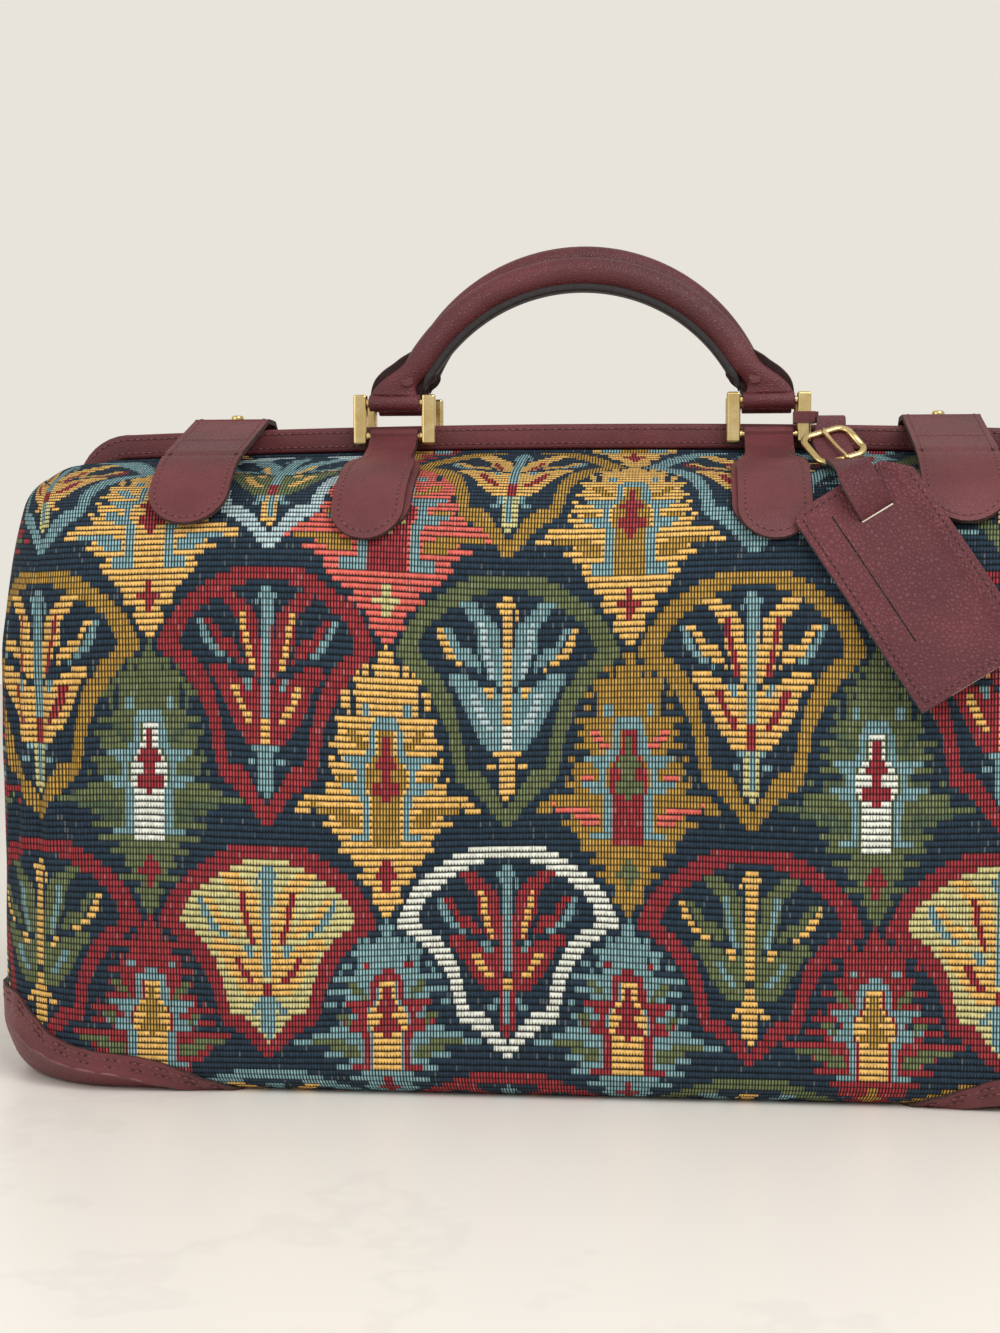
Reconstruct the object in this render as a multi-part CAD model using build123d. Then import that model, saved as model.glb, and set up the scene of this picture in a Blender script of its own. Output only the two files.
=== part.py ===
from build123d import *
import math
import os

# Carpet bag with a leather-covered frame, two rolled handles on brass rings, snap tabs and a name tag.
# Millimetres, +Z up, the bag stands on z = 0, +X along its length, the front looks along -Y.

# Bag body
bag_length = 520.0
bag_depth = 222.0
end_corner_radius = 58.0
base_corner_radius = 20.0
base_edge_radius = 16.0
top_corner_radius = 34.0
shoulder_radius = 70.0
mouth_slope = 0.12
wall = 2.4
lining_thickness = 0.8
board_thickness = 4.0
board_clearance = 1.0
seam_from_end = 24.0
base_seam_inset = 26.0
overrun = 8.0

# Frame of two jaws that meet on the centre plane
frame_top = 302.0
frame_crown = 5.0
frame_end_inset = 13.0
frame_end_drop = 44.0
frame_corner_radius = 26.0
strip_height = 12.0
jaw_thickness = 9.2
jaw_gap = 0.4
jaw_leather = 2.0
jaw_steel_height = 9.0
frame_fit = 0.4
hinge_rivet_radius = 2.0
hinge_head_radius = 3.6
hinge_head_height = 1.2
hinge_rise = 7.0

# Corner patches of leather
patch_thickness = 1.8
patch_height = 36.0
patch_reach = 98.0
patch_wrap = 74.0
patch_curve_shares = [(0.0, 1.0), (0.3, 0.78), (0.62, 0.26), (1.0, 0.0)]

# Handle rings: two flat bars on two pins
ring_spread = 89.0
ring_bar_width = 6.5
ring_bar_thickness = 5.0
ring_bar_height = 24.0
ring_bar_bevel = 1.2
ring_pin_pitch = 16.0
ring_pin_radius = 1.5
ring_inner_width = 26.5
ring_rise = 6.0
ring_stand_off = 2.2
pin_fit = 0.05

# Chapes: folded straps that hold the rings
chape_leather = 2.0
chape_neck = 24.0
chape_width = 32.0
chape_seat = 0.3
chape_tongue_angle = 24.0
chape_under_shift = 5.0
chape_under_trim_angle = 3.0
chape_neck_reach = 7.0
tongue_round_share = 0.49

# Handles
handle_radius = 7.0
handle_rises = {"front": 62.0, "back": 70.0}
handle_leans = {"front": 5.0, "back": 7.0}
handle_flare = 26.0
handle_loop_width = 24.0
handle_loop_leather = 2.4
handle_neck_thickness = 5.6
handle_neck_rise = 5.0
handle_neck_inner = 5.0
handle_neck_width = 23.0
handle_neck_lap = 1.0
handle_strip_width = 6.4
handle_strip_thickness = 2.2
handle_strip_proud = 1.0
handle_strip_end_share = 0.9
neck_round_share = 0.45
flare_round_share = 0.99
rivet_radius = 1.6
rivet_head_radius = 3.2
rivet_head_height = 1.4
rivet_up_flare_share = 0.46

# Snap tabs over the frame
tab_from_end = 90.0
tab_width = 36.0
tab_leather = 2.4
tab_clearance = 1.0
tab_end_angle = 30.0
tab_back_turn = 14.0
tab_bend_radius = 9.0
snap_radius = 6.0
snap_height = 2.0
stud_radius = 3.0
stud_height = 2.6

# Name tag on its buckled strap
tag_length = 101.0
tag_width = 55.0
tag_leather = 1.6
tag_card = 0.6
tag_slot_from_top = 18.0
tag_slot_from_left = 31.0
tag_corner_cut = 10.0
tag_turn = 32.2
tag_tilt = 14.0
tag_seat = 2.0
tag_slot_x = 131.0
tag_slot_drop = 46.0
tag_slot_length = 16.0
tag_slot_width = 1.4
tag_slit_inset = 14.0
tag_slit_width = 0.8
tag_slit_start = 22.0
tag_slit_end = 14.0
card_margin = 5.0
strap_width = 12.0
strap_leather = 2.0
strap_side_gap = 0.4
strap_root_rise = 7.7
strap_shares = [(0.36, 0.79), (0.66, 0.52)]
strap_seat = 1.3
strap_top_lift = 27.0
strap_bend_radius = 10.0
buckle_side = 24.0
buckle_wire = 1.5
buckle_seat = 0.15
buckle_along_share = 0.34
prong_radius = 0.9
loop_leather = 1.6
loop_fit = 0.2
loop_height = 5.4
loop_rise = 5.0
loop_tail = 1.6
loop_tail_thickness = 3.4

half_length = bag_length / 2
half_depth = bag_depth / 2
strip_bottom = frame_top - strip_height
frame_half = jaw_gap / 2 + jaw_thickness
frame_half_length = half_length - frame_end_inset
frame_end_height = frame_top - frame_end_drop
tab_spread = half_length - tab_from_end
tag_slot_height = frame_top - tag_slot_drop

# Front shoulder: the arc that joins the flat front to the sloping mouth
shoulder_y = half_depth - shoulder_radius
slope_length = math.sqrt(1 + mouth_slope ** 2)
shoulder_z = strip_bottom - mouth_slope * (shoulder_y - frame_half) - shoulder_radius * slope_length
slope_angle = math.atan(mouth_slope)

# Ring axes
ring_loop_radius = ring_pin_radius + pin_fit + chape_leather
ring_y = frame_half + ring_stand_off + ring_loop_radius
lower_pin_z = strip_bottom + ring_rise
upper_pin_z = lower_pin_z + ring_pin_pitch

os.makedirs("parts", exist_ok=True)


def save(shape, node):
    export_step(shape, f"parts/{node}.step")


def slab(low, high):
    """A box between two opposite corners."""
    size = [b - a for a, b in zip(low, high)]
    middle = [(a + b) / 2 for a, b in zip(low, high)]
    return Pos(*middle) * Box(*size)


def side_face(inset):
    """The bag's section across its length, moved inwards by inset."""
    width = half_depth - inset
    corner = base_edge_radius - inset
    bend = shoulder_radius - inset
    top = strip_bottom - inset * slope_length
    side = Line((0, inset), (width - corner, inset))
    side += CenterArc((width - corner, inset + corner), corner, -90, 90)
    side += Line((width, inset + corner), (width, shoulder_z))
    side += CenterArc((shoulder_y, shoulder_z), bend, 0, 90 - math.degrees(slope_angle))
    ridge = (shoulder_y + bend * math.sin(slope_angle), shoulder_z + bend * math.cos(slope_angle))
    side += Line(ridge, (frame_half, top))
    side += Line((frame_half, top), (0, top))
    side += Line((0, top), (0, inset))
    half = Plane.YZ * make_face(side)
    return half, mirror(half, about=Plane.XZ)


def front_face(inset):
    """The bag's outline from the front, moved inwards by inset."""
    reach = half_length - inset
    top = strip_bottom - inset
    low = inset
    outline = Polyline((-reach, top - frame_crown), (-reach, low), (reach, low), (reach, top - frame_crown))
    outline += ThreePointArc((reach, top - frame_crown), (0, top), (-reach, top - frame_crown))
    face = make_face(outline)
    corners = face.vertices().sort_by(Axis.Y)
    face = fillet(corners[:2], base_corner_radius - inset)
    face = fillet(face.vertices().sort_by(Axis.Y)[-2:], top_corner_radius - inset)
    return Plane.XZ * face


def bag_solid(inset):
    """The bag's full outer form, moved inwards by inset."""
    halves = [extrude(half, bag_length, both=True) for half in side_face(inset)]
    lengthwise = halves[0] + halves[1]
    frontwise = extrude(front_face(inset), bag_depth, both=True)
    plan = RectangleRounded(2 * (half_length - inset), 2 * (half_depth - inset), end_corner_radius - inset)
    return lengthwise & frontwise & extrude(plan, frame_top)


def frame_face(inset):
    """The frame's outline from the front, moved inwards by inset, open at its hinge ends."""
    reach = frame_half_length - inset
    crest = frame_top - inset
    side = crest - frame_crown
    outline = Polyline((-reach, side), (-reach, frame_end_height), (reach, frame_end_height), (reach, side))
    outline += ThreePointArc((reach, side), (0, crest), (-reach, side))
    face = make_face(outline)
    face = fillet(face.vertices().sort_by(Axis.Y)[-2:], frame_corner_radius - inset)
    return Plane.XZ * face


def frame_band(outer, inner, near, far):
    """A band of the frame between two insets, from y = near to y = far."""
    ring = frame_face(outer) - frame_face(inner)
    return Pos(0, far, 0) * extrude(ring, far - near)


def shoulder_point(angle, lift):
    """A point over the front shoulder as y, z, at an angle above the horizontal."""
    reach = shoulder_radius + lift
    y = -(shoulder_y + reach * math.cos(math.radians(angle)))
    return y, shoulder_z + reach * math.sin(math.radians(angle))


def side_layer(low_lift, high_lift, middle_x, width):
    """A layer lying over the front of the bag between two lifts off the cloth."""
    upper = side_face(-high_lift)[1]
    lower = side_face(-low_lift)[1]
    layer = extrude(upper, width / 2, both=True) - extrude(lower, width, both=True)
    return Pos(middle_x, 0, 0) * layer


def to_back(shape):
    return mirror(shape, about=Plane.XZ)


# Cloth panels, lining and base board
outside = bag_solid(0)
inside = bag_solid(wall)
mouth = slab(
    (-frame_half_length, -frame_half + wall, strip_bottom - strip_height - wall),
    (frame_half_length, frame_half - wall, frame_top),
)
notch = frame_band(-frame_fit, strip_height + frame_fit, -frame_half - frame_fit, frame_half + frame_fit)
shell = outside - inside - mouth - notch
seam_x = half_length - seam_from_end
seam_y = half_depth - base_seam_inset
base_block = slab((-seam_x, -seam_y, 0), (seam_x, seam_y, wall))
front_block = slab((-seam_x, -bag_depth, 0), (seam_x, 0, frame_top))
end_block = slab((seam_x, -bag_depth, 0), (bag_length, bag_depth, frame_top))
front_panel = (shell & front_block) - base_block
right_end_panel = shell & end_block
save(front_panel, "front_panel")
save(to_back(front_panel), "back_panel")
save(right_end_panel, "right_end_panel")
save(mirror(right_end_panel, about=Plane.YZ), "left_end_panel")
save(shell & base_block, "base_panel")

lining = inside - bag_solid(wall + lining_thickness) - mouth - notch
save(lining, "lining")
board_inset = wall + lining_thickness + board_clearance
board_plan = RectangleRounded(
    2 * (seam_x - board_inset), 2 * (seam_y - board_inset), base_corner_radius
)
board_floor = wall + lining_thickness
save(Pos(0, 0, board_floor) * extrude(board_plan, board_thickness), "base_board")

# Leather patches on the four lower corners, with a curved upper edge
skin = bag_solid(-patch_thickness) - outside
patch_points = [
    (half_length - patch_reach * along, patch_height * up) for along, up in patch_curve_shares
]
patch_edge = Spline(*patch_points)
patch_low = patch_points[-1]
patch_outer = half_length + overrun
patch_line = patch_edge + Polyline(
    patch_low, (patch_outer, 0), (patch_outer, patch_height), patch_points[0]
)
patch_block = extrude(Plane.XZ * make_face(patch_line), bag_depth)
patch_keep = slab((0, -bag_depth, 0), (bag_length, patch_wrap - half_depth, patch_height + overrun))
right_patch = skin & patch_block & patch_keep
for end in ("right", "left"):
    front_patch = right_patch if end == "right" else mirror(right_patch, about=Plane.YZ)
    save(front_patch, f"front_{end}_corner_patch")
    save(to_back(front_patch), f"back_{end}_corner_patch")

# Frame jaws: a steel strip in a folded leather cover, pinned together at both ends
steel_low = jaw_leather + jaw_steel_height
steel_thickness = jaw_thickness - 2 * jaw_leather
jaw_near = jaw_gap / 2
steel_near = jaw_near + jaw_leather
hinge_x = frame_half_length - strip_height / 2
hinge_z = frame_end_height + hinge_rise
hinge_rod = Pos(hinge_x, 0, hinge_z) * Rot(X=90) * Cylinder(hinge_rivet_radius, 2 * frame_half)
hinge_rods = hinge_rod + mirror(hinge_rod, about=Plane.YZ)
steel = frame_band(jaw_leather, steel_low, -steel_near - steel_thickness, -steel_near)
cover = frame_band(0, strip_height, -frame_half, -jaw_near)
cover -= frame_band(jaw_leather, strip_height + overrun, -steel_near - steel_thickness, -steel_near)
for side in ("front", "back"):
    jaw_steel = steel - hinge_rods
    jaw_cover = cover - hinge_rods
    save(jaw_steel if side == "front" else to_back(jaw_steel), f"{side}_jaw_strip")
    save(jaw_cover if side == "front" else to_back(jaw_cover), f"{side}_jaw_cover")
hinge_head = Pos(hinge_x, -frame_half - hinge_head_height / 2, hinge_z) * Rot(X=90) * Cylinder(
    hinge_head_radius, hinge_head_height
)
hinge_pin = hinge_rod + hinge_head + to_back(hinge_head)
save(hinge_pin, "right_frame_rivet")
save(mirror(hinge_pin, about=Plane.YZ), "left_frame_rivet")


def chape(middle_x, under_side):
    """A strap folded round the lower pin, with two rounded tongues over the shoulder."""
    tops = [chape_seat + chape_leather, chape_seat + 2 * chape_leather]
    ends = [chape_tongue_angle + chape_under_trim_angle, chape_tongue_angle]
    shifts = [under_side * chape_under_shift, 0]
    strap = None
    for top, end, shift in zip(tops, ends, shifts):
        middle = middle_x + shift / 2
        layer = side_layer(top - chape_leather, top, middle, chape_width)
        low_y, low_z = shoulder_point(end, top)
        high_y = -ring_y - chape_neck_reach
        high_z = strip_bottom + top
        span = math.hypot(high_y - low_y, high_z - low_z)
        slope = Plane(
            origin=(middle, low_y, low_z),
            x_dir=(1, 0, 0),
            z_dir=(0, -(high_z - low_z), high_y - low_y),
        )
        outline = Pos(0, span / 2) * RectangleRounded(chape_width, span, chape_width * tongue_round_share)
        outline += Pos(0, span * 3 / 4) * Rectangle(chape_width, span / 2)
        tongue = layer & extrude(slope * outline, shoulder_radius, both=True)
        neck_layer = side_layer(top - chape_leather, top, middle_x, chape_neck)
        neck_box = slab(
            (middle_x - chape_neck / 2, high_y, strip_bottom - strip_height),
            (middle_x + chape_neck / 2, -ring_y + chape_leather, frame_top),
        )
        piece = tongue + (neck_layer & neck_box)
        strap = piece if strap is None else strap + piece
    pin_place = Pos(middle_x, -ring_y, lower_pin_z) * Rot(Y=90)
    strap += pin_place * Cylinder(ring_loop_radius, chape_neck)
    return strap - pin_place * Cylinder(ring_pin_radius + pin_fit, chape_width + overrun)


def ring_bars(middle_x):
    """The two bevelled bars of a ring, bored for its pins."""
    offset = (ring_inner_width + ring_bar_width) / 2
    bar = Box(ring_bar_width, ring_bar_thickness, ring_bar_height)
    bar = chamfer(bar.edges().filter_by(Axis.Z), ring_bar_bevel)
    middle_z = (lower_pin_z + upper_pin_z) / 2
    bars = [Pos(middle_x + way * offset, -ring_y, middle_z) * bar for way in (-1, 1)]
    pins = ring_pins(middle_x)
    return Compound([piece - pin for piece, pin in zip(bars, [pins, pins])])


def ring_pins(middle_x):
    """The lower and upper pins of a ring."""
    length = ring_inner_width + 2 * ring_bar_width
    rods = [
        Pos(middle_x, -ring_y, height) * Rot(Y=90) * Cylinder(ring_pin_radius, length)
        for height in (lower_pin_z, upper_pin_z)
    ]
    return Compound(rods)


for end, way in (("left", -1), ("right", 1)):
    place = way * ring_spread
    strap = chape(place, -way)
    bars = ring_bars(place)
    pins = ring_pins(place)
    for side in ("front", "back"):
        save(strap if side == "front" else to_back(strap), f"{side}_{end}_chape")
        save(bars if side == "front" else to_back(bars), f"{side}_{end}_ring_bars")
        save(pins if side == "front" else to_back(pins), f"{side}_{end}_ring_pins")


def handle_pieces(rise):
    """Handle, seam strip and rivets upright in the XZ plane, with the upper pins on z = 0."""
    bend = (ring_spread ** 2 + rise ** 2 - handle_flare ** 2) / (2 * rise)
    centre_z = rise - bend
    reach = math.hypot(ring_spread, centre_z)
    half_turn = math.atan2(ring_spread, -centre_z) - math.acos(bend / reach)
    axis = Axis((0, 0, centre_z), (0, 1, 0))

    def arc_plane(turn):
        """The plane across the arch at its left, turned from the crest, with y pointing outwards."""
        place = (-bend * math.sin(turn), 0, centre_z + bend * math.cos(turn))
        return Plane(place, x_dir=(0, 1, 0), z_dir=(math.cos(turn), 0, math.sin(turn)))

    tube = revolve(arc_plane(half_turn) * Circle(handle_radius), axis, 2 * math.degrees(half_turn))
    start = (bend * math.sin(half_turn), 0, centre_z + bend * math.cos(half_turn))
    way = (math.cos(half_turn), 0, -math.sin(half_turn))
    top = Plane(start, x_dir=(0, 1, 0), z_dir=way) * RectangleRounded(
        2 * handle_radius, 2 * handle_radius, handle_radius * flare_round_share
    )
    foot_plane = Plane((ring_spread, 0, handle_neck_rise), x_dir=(0, 1, 0), z_dir=(0, 0, -1))
    foot = foot_plane * RectangleRounded(
        handle_neck_thickness, handle_loop_width, handle_neck_thickness * neck_round_share
    )
    neck_top = handle_neck_rise + handle_neck_lap
    loop_radius = ring_pin_radius + pin_fit + handle_loop_leather
    pin_place = Pos(ring_spread, 0, 0) * Rot(Y=90)
    flare = loft([top, foot])
    flare += Pos(ring_spread, 0, neck_top / 2) * Box(handle_neck_width, handle_neck_inner, neck_top)
    flare += pin_place * Cylinder(loop_radius, handle_loop_width)
    flare -= pin_place * Cylinder(ring_pin_radius + pin_fit, handle_loop_width + overrun)
    body = tube + flare + mirror(flare, about=Plane.YZ)
    strip_turn = half_turn * handle_strip_end_share
    strip_middle = handle_radius + handle_strip_proud - handle_strip_thickness / 2
    strip_section = Pos(0, -strip_middle) * Rectangle(handle_strip_width, handle_strip_thickness)
    strip = revolve(arc_plane(strip_turn) * strip_section, axis, 2 * math.degrees(strip_turn))
    share = rivet_up_flare_share
    rivet_x = ring_spread + (start[0] - ring_spread) * share
    rivet_z = start[2] * share
    rivet_depth = handle_neck_thickness + (2 * handle_radius - handle_neck_thickness) * share
    rivet_place = Pos(rivet_x, 0, rivet_z) * Rot(X=90)
    rivet = rivet_place * Cylinder(rivet_radius, rivet_depth)
    head_y = (rivet_depth + rivet_head_height) / 2
    for toward in (-1, 1):
        rivet += Pos(0, toward * head_y, 0) * (rivet_place * Cylinder(rivet_head_radius, rivet_head_height))
    rivets = rivet + mirror(rivet, about=Plane.YZ)
    return body - strip - rivets, strip, rivets


for side, toward in (("front", -1), ("back", 1)):
    seat = Pos(0, toward * ring_y, upper_pin_z) * Rot(X=toward * handle_leans[side])
    leather, strip, rivets = handle_pieces(handle_rises[side])
    save(seat * leather, f"{side}_handle")
    save(seat * strip, f"{side}_handle_strip")
    save(seat * rivets, f"{side}_handle_rivets")

# Snap tabs: a strap from the back of the bag over the frame to a snap on the front shoulder
tab_lift = chape_seat + snap_height + tab_leather / 2
tab_crest = frame_top + tab_clearance + tab_leather / 2
tab_bend = shoulder_radius + tab_lift
crest_reach = math.hypot(shoulder_y - frame_half, tab_crest - shoulder_z)
crest_angle = 90 + math.degrees(math.atan2(shoulder_y - frame_half, tab_crest - shoulder_z))
leave_angle = crest_angle - math.degrees(math.acos(tab_bend / crest_reach))
leave_y, leave_z = shoulder_point(leave_angle, tab_lift)
tab_line = FilletPolyline(
    (-leave_y, leave_z),
    (frame_half, tab_crest),
    (-frame_half, tab_crest),
    (leave_y, leave_z),
    radius=tab_bend_radius,
)
tab_line += CenterArc((-shoulder_y, shoulder_z), tab_bend, 180 - leave_angle, leave_angle - tab_end_angle)
tab_line += CenterArc((shoulder_y, shoulder_z), tab_bend, leave_angle - tab_back_turn, tab_back_turn)
tab_band = extrude(Plane.YZ * trace(tab_line, tab_leather), tab_width / 2, both=True)
tab_end_z = shoulder_point(tab_end_angle, tab_lift)[1]
tab_round = tab_width * tongue_round_share
tab_span = tab_crest - tab_end_z + overrun
tab_outline = Pos(0, tab_end_z + tab_span / 2) * RectangleRounded(tab_width, tab_span, tab_round)
tab_outline += Pos(0, tab_end_z + tab_span * 3 / 4) * Rectangle(tab_width, tab_span / 2)
tab = tab_band & extrude(Plane.XZ * tab_outline, bag_depth, both=True)
snap_angle = tab_end_angle + math.degrees(tab_width / 2 / shoulder_radius)
snap_y, snap_z = shoulder_point(snap_angle, chape_seat / 2)
snap_plane = Plane(
    origin=(0, snap_y, snap_z),
    x_dir=(1, 0, 0),
    z_dir=(0, -math.cos(math.radians(snap_angle)), math.sin(math.radians(snap_angle))),
)
snap = snap_plane * extrude(Circle(snap_radius), snap_height - chape_seat)
stud = Pos(0, frame_half / 2, tab_crest + tab_leather / 2) * extrude(Circle(stud_radius), stud_height)
stud = fillet(stud.edges().sort_by(Axis.Z)[-1], stud_height / 2)
for end, way in (("left", -1), ("right", 1)):
    place = Pos(way * tab_spread, 0, 0)
    save(place * tab, f"{end}_snap_tab")
    save(place * (snap - outside), f"{end}_snap")
    save(place * stud, f"{end}_tab_stud")

# Name tag: two leathers with a card between, lying against the front shoulder
tilt = math.radians(tag_tilt)
turn = math.radians(tag_turn)
touch_y, touch_z = shoulder_point(tag_tilt, tag_seat)
slot_y = touch_y + math.tan(tilt) * (tag_slot_height - touch_z)
tag_normal = Vector(0, -math.cos(tilt), math.sin(tilt))
tag_down = Vector(0, -math.sin(tilt), -math.cos(tilt))
tag_along = tag_down * math.cos(turn) + Vector(1, 0, 0) * math.sin(turn)
tag_plane = Plane(origin=(tag_slot_x, slot_y, tag_slot_height), x_dir=tag_along, z_dir=tag_normal)
tag_start = -tag_slot_from_top
tag_end = tag_length - tag_slot_from_top
tag_left = -tag_slot_from_left
tag_right = tag_width - tag_slot_from_left
tag_outline = make_face(
    Polyline(
        (tag_start, tag_left + tag_corner_cut),
        (tag_start, tag_right - tag_corner_cut),
        (tag_start + tag_corner_cut, tag_right),
        (tag_end, tag_right),
        (tag_end, tag_left),
        (tag_start + tag_corner_cut, tag_left),
        (tag_start, tag_left + tag_corner_cut),
    )
)
tag_slot = Rectangle(tag_slot_width, tag_slot_length)
slit_length = tag_length - tag_slit_start - tag_slit_end
slit_place = Pos(tag_start + tag_slit_start + slit_length / 2, tag_left + tag_slit_inset)
tag_slit = slit_place * Rectangle(slit_length, tag_slit_width)
card_length = tag_end - tag_slot_width - 2 * card_margin
card_place = Pos(tag_end - card_margin - card_length / 2, (tag_left + tag_right) / 2, tag_leather)
card = card_place * extrude(Rectangle(card_length, tag_width - 2 * card_margin), tag_card)
rim = extrude(tag_outline, tag_card) - Pos(0, 0, -tag_leather) * card
tag_back = extrude(tag_outline, tag_leather) + Pos(0, 0, tag_leather) * rim
tag_front = extrude(tag_outline - tag_slot - tag_slit, tag_leather)
tag_thickness = 2 * tag_leather + tag_card
save(tag_plane * tag_back, "tag_back")
save(tag_plane * card, "tag_card")
save(tag_plane * (Pos(0, 0, tag_leather + tag_card) * tag_front), "tag_front")

# Leather loop that ties the tag's strap to the outer bar of the front right ring
loop_x = ring_spread + (ring_inner_width + ring_bar_width) / 2
loop_z = lower_pin_z + loop_rise + loop_height / 2
loop_half = ring_bar_width / 2 + loop_fit + loop_leather
loop_inner = Box(ring_bar_width + 2 * loop_fit, ring_bar_thickness + 2 * loop_fit, loop_height + overrun)
loop_outer = Box(2 * loop_half, ring_bar_thickness + 2 * (loop_fit + loop_leather), loop_height)
tail = Pos(loop_half + loop_tail / 2, 0, 0) * Box(loop_tail, loop_tail_thickness, loop_height)
save(Pos(loop_x, -ring_y, loop_z) * (loop_outer - loop_inner + tail), "tag_loop")
strap_root_x = loop_x + loop_half + loop_tail + strap_side_gap + strap_width / 2

# Tag strap in an upright plane from the ring to the tag's slot, and its buckle
slot_face = Vector(tag_slot_x, slot_y, tag_slot_height)
slot_face += tag_normal * (tag_thickness + strap_seat + strap_leather / 2)
strap_root = Vector(strap_root_x, -ring_y, lower_pin_z + strap_root_rise)
strap_run = Vector(slot_face.X - strap_root.X, slot_face.Y - strap_root.Y, 0)
strap_plane = Plane(
    origin=(strap_root.X, strap_root.Y, 0), x_dir=strap_run, z_dir=strap_run.cross(Vector(0, 0, 1))
)
run = strap_run.length
crest = slot_face.Z + strap_top_lift
drop = strap_root.Z - crest
strap_points = [(0, strap_root.Z)]
strap_points += [(run * along, crest + drop * up) for along, up in strap_shares]
strap_points += [(run - strap_top_lift * math.tan(tilt), crest), (run, slot_face.Z)]
strap_line = FilletPolyline(*strap_points, radius=strap_bend_radius)
strap_band = strap_plane * trace(strap_line, strap_leather)
save(extrude(strap_band, strap_width / 2, both=True), "tag_strap")

buckle_at = strap_line @ buckle_along_share
buckle_way = strap_line % buckle_along_share
buckle_origin = strap_plane.from_local_coords(Vector(buckle_at.X, buckle_at.Y, 0))
buckle_dir = strap_plane.from_local_coords(Vector(buckle_way.X, buckle_way.Y, 0))
buckle_dir -= strap_plane.origin
buckle_normal = strap_plane.z_dir.cross(buckle_dir)
if buckle_normal.Z < 0:
    buckle_normal = -buckle_normal
buckle_lift = strap_leather / 2 + buckle_seat + buckle_wire
buckle_plane = Plane(
    origin=buckle_origin + buckle_normal * buckle_lift, x_dir=buckle_dir, z_dir=buckle_normal
)
buckle_half = buckle_side / 2 - buckle_wire
buckle_path = RectangleRounded(2 * buckle_half, 2 * buckle_half, 2 * buckle_wire).wire()
buckle_section = Plane((0, -buckle_half, 0), x_dir=(0, 1, 0), z_dir=(1, 0, 0)) * Circle(buckle_wire)
buckle = sweep(buckle_section, path=buckle_path)
prong_length = buckle_half - buckle_wire - buckle_seat
prong = Pos(prong_length / 2, 0, 0) * Rot(Y=90) * Cylinder(prong_radius, prong_length)
save(buckle_plane * buckle, "tag_buckle")
save(buckle_plane * prong, "tag_buckle_prong")
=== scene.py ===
import bmesh
import bpy
import math
import numpy as np
from mathutils import Matrix, Vector, noise


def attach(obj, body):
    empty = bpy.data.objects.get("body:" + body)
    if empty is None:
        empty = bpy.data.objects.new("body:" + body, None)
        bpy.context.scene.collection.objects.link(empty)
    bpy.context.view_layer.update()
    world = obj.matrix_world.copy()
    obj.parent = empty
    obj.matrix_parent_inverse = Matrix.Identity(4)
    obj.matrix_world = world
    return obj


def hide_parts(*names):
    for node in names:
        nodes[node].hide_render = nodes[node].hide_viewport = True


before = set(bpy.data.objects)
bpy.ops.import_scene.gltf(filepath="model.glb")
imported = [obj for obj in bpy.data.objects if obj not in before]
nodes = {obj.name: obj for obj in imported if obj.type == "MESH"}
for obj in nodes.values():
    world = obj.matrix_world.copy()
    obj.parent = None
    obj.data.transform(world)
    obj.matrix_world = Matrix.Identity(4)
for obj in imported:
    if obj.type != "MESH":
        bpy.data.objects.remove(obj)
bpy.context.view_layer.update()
MM = 0.001

# Sizes of the bag in millimetres, as in the part's source
half_length, half_depth = 260.0, 111.0
plan_radius, base_edge, base_corner, top_corner = 58.0, 16.0, 12.0, 24.0
shoulder, shoulder_y = 70.0, 41.0
frame_top, strip_height, frame_half, crown = 302.0, 12.0, 9.4, 5.0
strip_bottom = frame_top - strip_height
mouth_slope = 0.12
slope_angle = math.atan(mouth_slope)
shoulder_z = strip_bottom - mouth_slope * (shoulder_y - frame_half) - shoulder * math.hypot(1, mouth_slope)
ring_x, ring_y, lower_pin, upper_pin = 89.0, 15.15, 296.0, 312.0
tab_x = 170.0

# Lengths of the cloth along the bag's side, from the frame down to the base
slope_run = (shoulder_y + shoulder * math.sin(slope_angle) - frame_half) / math.cos(slope_angle)
shoulder_run = slope_run + shoulder * (math.pi / 2 - slope_angle)
side_run = shoulder_run + shoulder_z - base_edge
edge_run = side_run + base_edge * math.pi / 2
turned_under = 10.0
cloth_run = edge_run + turned_under
seam_turn = math.radians(36)
front_half = half_length - plan_radius + plan_radius * seam_turn
end_half = plan_radius * (math.pi / 2 - seam_turn) + half_depth - plan_radius
half_round = front_half + end_half
shoulder_sag = 6.0


def plain_profile(run):
    """Half depth and height of the bag at a length of cloth below the frame, without sag."""
    bend = np.clip(math.pi / 2 - slope_angle - (run - slope_run) / shoulder, 0, None)
    low = np.clip((run - side_run) / base_edge, 0, math.pi / 2)
    depth = np.select(
        [run < slope_run, run < shoulder_run, run < side_run, run < edge_run],
        [frame_half + run * math.cos(slope_angle), shoulder_y + shoulder * np.cos(bend), half_depth + 0 * run,
         half_depth - base_edge + base_edge * np.cos(low)],
        half_depth - base_edge - (run - edge_run),
    )
    height = np.select(
        [run < slope_run, run < shoulder_run, run < side_run, run < edge_run],
        [strip_bottom - run * math.sin(slope_angle), shoulder_z + shoulder * np.sin(bend),
         shoulder_z - (run - shoulder_run), base_edge - base_edge * np.sin(low)],
        0.0,
    )
    return depth, height


def side_profile(run):
    """Half depth and height of the bag, with its shoulder sagging between the frame and the front."""
    depth, height = plain_profile(run)
    sag = shoulder_sag * smooth_step(0, 40, run) * (1 - smooth_step(48, 116, run))
    tilt = slope_angle + np.clip((run - slope_run) / shoulder, 0, math.pi / 2 - slope_angle)
    return depth - sag * np.sin(tilt), height - sag * np.cos(tilt)


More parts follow.
